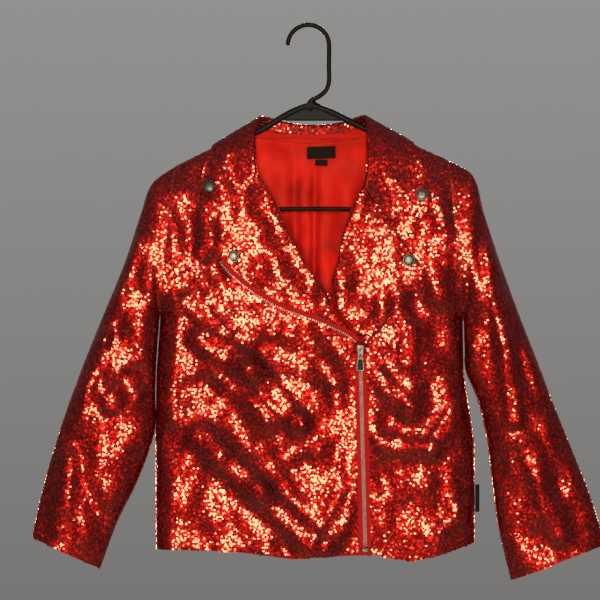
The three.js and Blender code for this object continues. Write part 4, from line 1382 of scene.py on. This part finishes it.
@dataclass
class ZipFastening:
    """Chain, tapes, open half on the lapel, slider, pull tab and stop.

    Attributes:
        tooth_pitch: distance between the teeth of one side.
        tooth: a tooth's length, width and height.
        tooth_corners: a tooth's corners, as shares of its size.
        tooth_sides: corners of each of its sides.
        tooth_out: distance of its middle from the line, in a closed chain and an open one.
        tooth_ends: room before the first tooth and after the last.
        tape_rest: how far the closed tapes lie in the cloth.
        tape_gap: distance of the tapes from the zip's line.
        tape_thick: thickness of the tapes.
        slider_x: the slider's middle across.
        slider_z: its height.
        layers: front and back faces of the slider's body and neck, then its underside's front
            face and the bridge's base, all from the front of its box.
        body: right half of the slider's outline, about its middle.
        neck: right half of its neck.
        arch: outer line of its bridge in a side view.
        arch_inside: the bridge's inner line.
        tab: right half of the pull tab's outline, from its top.
        tab_hole: right half of the tab's eye.
        tab_inset: right half of its black inset.
    """

    form: HangingForm
    finishes: Finishes
    lapels: Lapels
    tooth_pitch: float = 2.5
    tooth: Triple = (3.1, 1.15, 1.9)
    tooth_corners: Table = (
        (-0.5, -0.5, -0.5), (0.5, -0.34, -0.5), (0.5, 0.34, -0.5), (-0.5, 0.5, -0.5),
        (-0.42, -0.34, 0.5), (0.4, -0.22, 0.5), (0.4, 0.22, 0.5), (-0.42, 0.34, 0.5),
    )
    tooth_sides: Table = (
        (0, 3, 2, 1), (4, 5, 6, 7), (0, 1, 5, 4), (1, 2, 6, 5), (2, 3, 7, 6), (3, 0, 4, 7),
    )
    tooth_out: Pair = (0.95, 1.1)
    tooth_ends: Pair = (0.8, 0.6)
    tape_rest: float = 0.7
    tape_gap: float = 0.9
    tape_thick: float = 0.9
    slider_x: float = 61.8
    slider_z: float = -389.6
    layers: tuple[float, ...] = (3.3, 4.7, 4.6, 5.5, 5.4, 3.4)
    body: Table = ((3.4, 7), (4.5, 5.2), (4.1, 1), (3.4, -3), (3.3, -6.2), (2.6, -7))
    neck: Table = ((1.6, 6), (1.3, 1))
    arch: Table = (
        (0.3, 2.8), (-2.2, 2.3), (-3.1, 0.6), (-3.1, -3.7), (-2.2, -5.6), (0.3, -6.1),
    )
    arch_inside: Table = (
        (0.3, 1.4), (-1.4, 1.2), (-2.0, 0.0), (-2.0, -2.9), (-1.4, -4.3), (0.3, -4.7),
    )
    tab: Table = ((2.8, 0), (2.9, -3), (3.2, -5.4), (4.4, -18), (4.3, -19.8), (3.3, -20.6))
    tab_hole: Table = (
        (1.5, -1.4), (1.6, -3), (1.6, -4.8), (1.5, -4.9), (1.4, -4.95), (1.0, -5),
    )
    tab_inset: Table = ((2.5, -6.2), (3.1, -12), (3.6, -17.8), (3.0, -19.2))

    def strip(
        self, name: str, node: str, line: Array, low: float, high: float, lift: float,
        rib: float,
    ) -> Piece:
        """Makes a tape that follows a line on the front.

        Args:
            name: the piece's name.
            node: the node that it replaces.
            line: front-view points of its line.
            low: its first edge's distance from the line.
            high: its last edge's distance.
            lift: height of its face above the front.
            rib: height of the woven rib along its edge.

        Returns:
            The linked object.
        """
        _, side = directions(line)
        u = np.linspace(0, 1, 9)
        reach = low + (high - low) * u
        x = line[:, :1] + side[:, :1] * reach
        z = line[:, 1:] + side[:, 1:] * reach
        crown = rib * np.exp(-(((u - 0.16) / 0.12) ** 2))
        face = self.form.on_front(x, z)
        face[..., 1] -= lift + crown
        behind = face + np.array([0, self.tape_thick, 0])
        behind[..., 1] += crown
        obj = shell(name, face, behind, [self.finishes.tape])
        return settle(obj, [node])

    def teeth(
        self, name: str, node: str, line: Array, lift: float, sides: tuple[int, ...]
    ) -> Piece:
        """Makes metal teeth along a line, on one side of it or on both in turn.

        Args:
            name: the piece's name.
            node: the node that it replaces.
            line: front-view points of the line.
            lift: height of the teeth's middle above the front.
            sides: the sides of the line that have teeth, as -1 and 1.

        Returns:
            The joined teeth.
        """
        length = length_along(line)
        corners, box = np.array(self.tooth_corners) * self.tooth, np.array(self.tooth_sides)
        (first, last), ahead = self.tooth_ends, 0.5
        points, faces = [], []
        for side in sides:
            shift = 0.0 if side < 0 else self.tooth_pitch / 2
            for at in np.arange(first + shift, length[-1] - last, self.tooth_pitch):
                here = sample(at, length, line)
                along = unit(sample(at + ahead, length, line) - here)
                out = np.array([-along[1], along[0]]) * side
                middle = here + out * self.tooth_out[2 - len(sides)]
                base = self.form.on_front(middle[0], middle[1], lift)
                # a tooth points back across the line, so its tip meets the other side
                axes = np.array([[-out[0], 0, -out[1]], [along[0], 0, along[1]], FORWARD])
                faces.append(box + len(points) * len(corners))
                points.append(base + corners @ axes)
        obj = make_mesh(name, np.concatenate(points), np.concatenate(faces),
                        [self.finishes.teeth], smooth=False)
        soften(obj, 0.22, 1)
        return settle(obj, [node])

    def closed_line(self) -> Array:
        """Returns front-view points of the closed zip, from the slider to the hem."""
        z = np.linspace(-393, self.form.zip.end_z + 0.6, 140)
        return np.stack([self.form.zip.x_at(z), z], 1)

    def make(self) -> None:
        """Makes the whole zip."""
        line, reach = self.closed_line(), self.form.zip.width / 2 + self.form.zip.tape
        self.teeth("zip_chain_teeth", "zip_chain", line, 0.5, (-1, 1))
        right, left = (
            self.strip(f"tape_{name}", f"zip_tape_{name}", line, side * (reach + self.tape_gap),
                       side * self.tape_gap, -self.tape_rest, 0.35)
            for name, side in (("right", -1), ("left", 1)))
        open_line, lift = self.lapels.zip_curve(150), self.lapels.lift
        self.teeth("zip_half_teeth", "zip_half_chain", open_line, lift - 0.3, (1,))
        edge = self.strip("tape_lapel", "zip_half_tape", open_line, 2.0, 7.9, lift - 0.9, 0.45)
        self.make_slider()
        self.make_tab()
        self.make_stop()

    def plate(
        self, name: str, outline: Array, low: float, high: float, bevel: float,
        nodes: Sequence[str] = (), body: str = JACKET_BODY, hole: Array | None = None,
        material: Material | None = None,
    ) -> None:
        """Makes a plate from a front-view outline.

        Args:
            name: the piece's name.
            outline: its corners in order, x and z.
            low: y of its front face.
            high: y of its back face.
            bevel: width of its rounded edges.
            nodes: the nodes that it replaces.
            body: the body that it rides on.
            hole: corners of a window with as many corners as the outline.
            material: its material, where it isn't nickel.
        """
        count = len(outline)
        rings = [outline] if hole is None else [outline, hole]
        points = [(x, y, z) for y in (low, high) for ring in rings for x, z in ring]
        total = count * len(rings)
        faces = []
        for k in range(count):
            n = (k + 1) % count
            faces.append((k, n, n + total, k + total))
            if hole is not None:
                faces += [(k + count, k + count + total, n + count + total, n + count),
                          (k, k + count, n + count, n),
                          (k + total, n + total, n + count + total, k + count + total)]
        if hole is None:
            faces += [list(range(count))[::-1], list(range(total, total + count))]
        obj = make_mesh(name, np.array(points), faces, [material or self.finishes.nickel],
                        smooth=False)
        soften(obj, bevel, 3).limit_method = "ANGLE"
        settle(obj, nodes, body)

    def make_slider(self) -> None:
        """Makes the slider's body, neck and bridge."""
        low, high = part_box("slider")
        front, back = low.y / MM, high.y / MM
        body_front, body_back, neck_front, neck_back, under, base = (
            front + layer for layer in self.layers)
        body = mirrored(self.body, self.slider_x, self.slider_z)
        neck = mirrored(self.neck, self.slider_x, self.slider_z)
        self.plate("slider_body", body, body_front, body_back, 0.35, ["slider"])
        self.plate("slider_under", body, under, back, 0.3)
        self.plate("slider_neck", neck, neck_front, neck_back, 0.2)
        points = [(self.slider_x + x, base + y, self.slider_z + z)
                  for x in (-1.0, 1.0) for y, z in self.arch + self.arch_inside]
        faces = []
        for a in range(5):
            b = a + 1
            faces += [(a, b, b + 6, a + 6), (a + 12, a + 18, b + 18, b + 12),
                      (a, a + 12, b + 12, b), (a + 6, b + 6, b + 18, a + 18)]
        faces += [(0, 6, 18, 12), (5, 17, 23, 11)]
        bridge = make_mesh("slider_bridge", np.array(points), faces, [self.finishes.nickel],
                           smooth=False)
        soften(bridge, 0.25, 2)
        settle(bridge, ())

    def make_tab(self) -> None:
        """Makes the pull tab: a nickel frame with a black inset."""
        low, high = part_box("pull_tab")
        front, back = low.y / MM, high.y / MM
        outline, hole, inset = (
            mirrored(half, self.slider_x, high.z / MM)
            for half in (self.tab, self.tab_hole, self.tab_inset))
        self.plate("pull_tab_frame", outline, front, back, 0.22, ["pull_tab"], PULL_BODY, hole)
        proud, deep = 0.18, 0.3
        for side, near, far in (
            ("front", front - proud, front + deep), ("back", back - deep, back + proud)
        ):
            self.plate(f"pull_tab_inset_{side}", inset, near, far, 0.12, body=PULL_BODY,
                       material=self.finishes.inset)

    def make_stop(self) -> None:
        """Makes the bottom stop."""
        low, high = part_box("bottom_stop")
        x0, x1, z0, z1 = (v / MM for v in (low.x, high.x, low.z, high.z))
        outline = np.array([(x0, z0), (x1, z0), (x1, z1), (x0, z1)])
        self.plate("zip_bottom_stop", outline, low.y / MM, high.y / MM, 0.6, ["bottom_stop"])


# Snaps, hanger, side tab


@dataclass
class Snaps:
    """Domed cap snaps on the collar and lapels, with a rolled rim."""

    finishes: Finishes
    names: tuple[str, ...] = (
        "snap_collar_right", "snap_lapel_right", "snap_collar_left", "snap_lapel_left",
    )
    profile: tuple = (
        (0.0, 2.45), (2.0, 2.42), (4.0, 2.28), (5.4, 2.02), (6.1, 1.7), (6.35, 1.55), (6.6, 1.66),
        (7.0, 1.5), (7.4, 1.1), (7.5, 0.7), (7.2, 0.2), (6.8, 0.0), (0.0, 0.0),
    )
    sides: int = 48

    def make(self) -> None:
        """Makes each snap where its node stands."""
        for name in self.names:
            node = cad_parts[name]
            points = np.array([v.co for v in node.data.vertices]) / MM
            middle = points.mean(0)
            _, _, axes = np.linalg.svd(points - middle)
            up = axes[2] * (-1 if axes[2][1] > 0 else 1)
            base = middle + up * ((points - middle) @ up).min()
            side = unit(np.cross(up, [1.0, 0, 0]))
            other = np.cross(up, side)
            angle = np.linspace(0, math.tau, self.sides, endpoint=False)
            ring = np.cos(angle)[:, None] * side + np.sin(angle)[:, None] * other
            rows = [base + ring * max(r, 0.02) + up * h for r, h in self.profile]
            _, faces = grid_faces(len(rows), self.sides)
            obj = make_mesh(f"{name}_cap", np.concatenate(rows), faces, [self.finishes.cap])
            settle(obj, [name])


@dataclass
class Hanger:
    """A moulded hanger: hook, arms, bar and web in one piece.

    Attributes:
        hook_radius: radius of the hook's middle line.
        rod: half thickness of the hook.
        thick: half thickness of arms and bar, front to back.
        tall: half height of the arms.
        low_tall: half height of the bar below.
        voxel: fineness of the joined moulding.
        arm_drop: how far the arms' middle lies under the shoulder line.
        corners: corners of a section.
    """

    form: HangingForm
    finishes: Finishes
    hook_radius: float = 24.8
    rod: float = 2.8
    thick: float = 2.6
    tall: float = 3.7
    low_tall: float = 2.6
    voxel: float = 0.9
    arm_drop: float = 7.69
    corners: int = 20

    def under_shoulder(self, x: float) -> Pair:
        """Returns the arm's centre under the shoulder line."""
        return x, float(self.form.shoulder_at(x)) - self.arm_drop

    def bar(
        self, points: Sequence[Pair], wide: float, tall: float, steps: int
    ) -> tuple[Array, Array]:
        """Returns the points and faces of a rounded bar along a curve in the hanger's plane.

        Args:
            points: the curve's x and z.
            wide: half width front to back.
            tall: half height in the plane.
            steps: number of sections.

        Returns:
            Points and quads.
        """
        line = centripetal(np.array(points, float), np.linspace(0, 1, steps))
        side, middle = (np.insert(flat, 1, 0.0, axis=1) for flat in (directions(line)[1], line))
        angle = np.linspace(0, math.tau, self.corners, endpoint=False)
        edge = np.abs(np.cos(angle)) ** 0.8 * np.sign(np.cos(angle))
        rise = np.abs(np.sin(angle)) ** 0.8 * np.sign(np.sin(angle))
        middle = np.concatenate([middle[:1], middle, middle[-1:]])
        side = np.concatenate([side[:1], side, side[-1:]])
        steps += 2
        grown = np.ones(steps)
        grown[[0, -1]] = 0.01
        rings = (middle[:, None]
                 + side[:, None] * (rise[:, None] * tall) * grown[:, None, None]
                 + np.array([0, 1.0, 0]) * (edge[:, None] * wide) * grown[:, None, None])
        return rings.reshape(-1, 3), grid_faces(steps, self.corners)[1][:, [0, 3, 2, 1]]

    def make(self) -> None:
        """Makes the hanger as one joined, remeshed moulding."""
        arc = [(self.hook_radius * math.cos(math.radians(a)),
                -22 + self.hook_radius * math.sin(math.radians(a))) for a in range(180, -1, -15)]
        hook = arc + [(24.6, -45), (24.4, -68), (21, -76.5), (12, -84), (3, -89), (2, -100)]
        under = self.under_shoulder
        right = [(6, -92), (-20, -102), (-57, -123.8), under(-74), under(-110), under(-158)]
        right_end = [under(-150), under(-160), (-172, -184), (-173, -200), (-160, -216),
                     (-130, -219), (10, -219)]
        left = [(-2, -92), (24, -101), (62, -119.4), under(78), under(120), under(166)]
        left_end = [under(158), under(168), (181, -178), (183, -196), (170, -214),
                    (140, -218.5), (0, -219)]
        parts = [
            self.bar(hook, self.rod, self.rod, 90), self.bar(right, self.thick, self.tall, 60),
            self.bar(right_end, self.thick, self.low_tall, 90),
            self.bar(left, self.thick, self.tall, 60),
            self.bar(left_end, self.thick, self.low_tall, 90), self.web(),
        ]
        points, faces = [], []
        count = 0
        for more, quads in parts:
            points.append(more)
            faces.append(quads + count)
            count += len(more)
        obj = make_mesh("hanger_moulding", np.concatenate(points), np.concatenate(faces),
                        [self.finishes.hanger])
        join = obj.modifiers.new("join", "REMESH")
        join.mode, join.voxel_size, join.use_smooth_shade = "VOXEL", self.voxel * MM, True
        smooth = obj.modifiers.new("smooth", "SMOOTH")
        smooth.factor, smooth.iterations = 0.5, 4
        settle(obj, ["hanger"])

    def web(self) -> tuple[Array, Array]:
        """Returns the points and faces of the flat web under the neck."""
        outline = [(0, -90), (-36, -109.5), (-26, -113), (46, -113), (54, -112.5), (8, -90)]
        half = 1.7
        points = np.array([(x, y, z) for y in (-half, half) for x, z in outline], float)
        faces = [(k, (k + 1) % 6, (k + 1) % 6 + 6, k + 6) for k in range(6)]
        faces += [(0, 5, 4, 1), (1, 4, 3, 2), (6, 7, 10, 11), (7, 8, 9, 10)]
        return points, np.array(faces)


@dataclass
class SideTab:
    """A small folded black tab sewn into the left side seam."""

    finishes: Finishes

    def make(self) -> None:
        """Makes the tab from its node's box."""
        low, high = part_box("side_tab")
        x = np.linspace(low.x, high.x, 9)[None] / MM + np.zeros((25, 1))
        z = np.linspace(high.z, low.z, 25)[:, None] / MM + np.zeros((1, 9))
        bow = 0.25 * np.sin(z / 5) + 0.6 * np.cos((x - x.min()) / (x.max() - x.min()) * math.pi / 2)
        face = np.stack([x, -bow, z], -1)
        behind = np.stack([x, bow, z], -1)
        obj = shell("side_tab_fold", face, behind, [self.finishes.label])
        settle(obj, ["side_tab"])


# Studio


@dataclass
class Studio:
    """Floor, lights and the camera at the photograph's viewing angle."""

    centre: Triple = (-10.2, 0.0, -328.8)
    view_width: float = 720.0
    lens: float = 180.0
    sensor: float = 36.0
    front_plane: float = -15.0
    floor_z: float = -1650.0
    floor_radius: float = 9000.0
    spread: float = 70.0
    sky: tuple[float, ...] = (-0.6, 0.6, 0.03, 0.56)
    sky_colour: tuple[float, ...] = (0.80, 0.79, 0.77, 1.0)
    warm: Triple = (1.0, 0.70, 0.36)
    target: Triple = (0, 0, -0.36)
    lamps: tuple[tuple[str, Triple, Pair, float], ...] = (
        ("key", (-0.10, -3.9, -0.10), (0.90, 1.40), 46),
        ("back_key", (0.10, 3.7, 0.66), (0.90, 1.10), 34),
        ("side_left", (2.0, 3.2, -0.75), (0.90, 1.00), 9),
        ("side_right", (-2.0, 3.2, -0.75), (0.90, 1.00), 9),
    )

    def light(self, name: str, place: Triple, size: Pair, power: float) -> None:
        """Adds an area light that faces the jacket, in metres and watts."""
        data = bpy.data.lights.new(name, "AREA")
        data.shape, data.size, data.size_y = "RECTANGLE", *size
        data.energy, data.color = power, self.warm
        data.spread = math.radians(self.spread)
        obj = bpy.data.objects.new(name, data)
        obj.location = place
        obj.rotation_mode = "QUATERNION"
        obj.rotation_quaternion = (Vector(self.target) - Vector(place)).to_track_quat("-Z", "Y")
        bpy.context.scene.collection.objects.link(obj)

    def make(self) -> None:
        """Makes the studio."""
        self.make_camera()
        self.make_floor()
        for lamp in self.lamps:
            self.light(*lamp)
        self.make_sky()

    def make_sky(self) -> None:
        """Makes the sky, brighter from above than from below, and the plain view."""
        world = bpy.data.worlds.new("studio")
        bpy.context.scene.world = world
        world.use_nodes = True
        sheet = world.node_tree
        shade = sheet.nodes["Background"]
        place = sheet.nodes.new("ShaderNodeTexCoord")
        parts = sheet.nodes.new("ShaderNodeSeparateXYZ")
        rise = sheet.nodes.new("ShaderNodeMapRange")
        rise.interpolation_type = "SMOOTHSTEP"
        for name, value in zip(("From Min", "From Max", "To Min", "To Max"), self.sky):
            rise.inputs[name].default_value = value
        sheet.links.new(place.outputs["Generated"], parts.inputs[0])
        sheet.links.new(parts.outputs["Z"], rise.inputs["Value"])
        sheet.links.new(rise.outputs["Result"], shade.inputs["Strength"])
        shade.inputs["Color"].default_value = self.sky_colour
        bpy.context.scene.view_settings.view_transform = "Standard"
        bpy.context.scene.view_settings.look = "None"

    def make_camera(self) -> None:
        """Places the camera straight in front of the jacket."""
        data = bpy.data.cameras.new("camera")
        data.lens, data.sensor_width = self.lens, self.sensor
        distance = self.view_width * self.lens / self.sensor
        obj = bpy.data.objects.new("camera", data)
        x, _, z = self.centre
        obj.location = (x * MM, (self.front_plane - distance) * MM, z * MM)
        obj.rotation_euler = (math.pi / 2, 0, 0)
        bpy.context.scene.collection.objects.link(obj)
        bpy.context.scene.camera = obj

    def make_floor(self) -> None:
        """Lays a plain pale floor below the jacket."""
        sheet = NodeSheet("pale_floor")
        speck = sheet.noise(60.0, 4.0)
        colour = sheet.ramp(speck, (0.3, (0.66, 0.65, 0.63)), (0.7, (0.72, 0.71, 0.69)))
        sheet.surface(Base_Color=colour, Roughness=0.8)
        corners = 96
        angle = np.linspace(0, math.tau, corners, endpoint=False)
        points = np.stack([np.cos(angle), np.sin(angle), 0 * angle], 1) * self.floor_radius
        points[:, 2] = self.floor_z
        floor = make_mesh("floor", points, np.arange(corners)[None], [sheet.material], smooth=False)


def main() -> None:
    """Builds the studio, the hanger and every piece of the jacket in order."""
    logging.basicConfig(level=logging.INFO, format="%(name)s %(message)s")
    finishes = Finishes()
    form = HangingForm()
    sequins = SequinField(finishes)
    lapels = Lapels(form, finishes, sequins)
    for part in (
        Studio(), Hanger(form, finishes), BodyPanels(form, finishes, sequins),
        Sleeves(form, finishes, sequins), Collar(form, finishes, sequins), lapels,
        NeckInside(form, finishes), ZipFastening(form, finishes, lapels), Snaps(finishes),
        SideTab(finishes),
    ):
        part.make()
        log.info("%s finished", type(part).__name__)


if __name__ == "__main__":
    main()
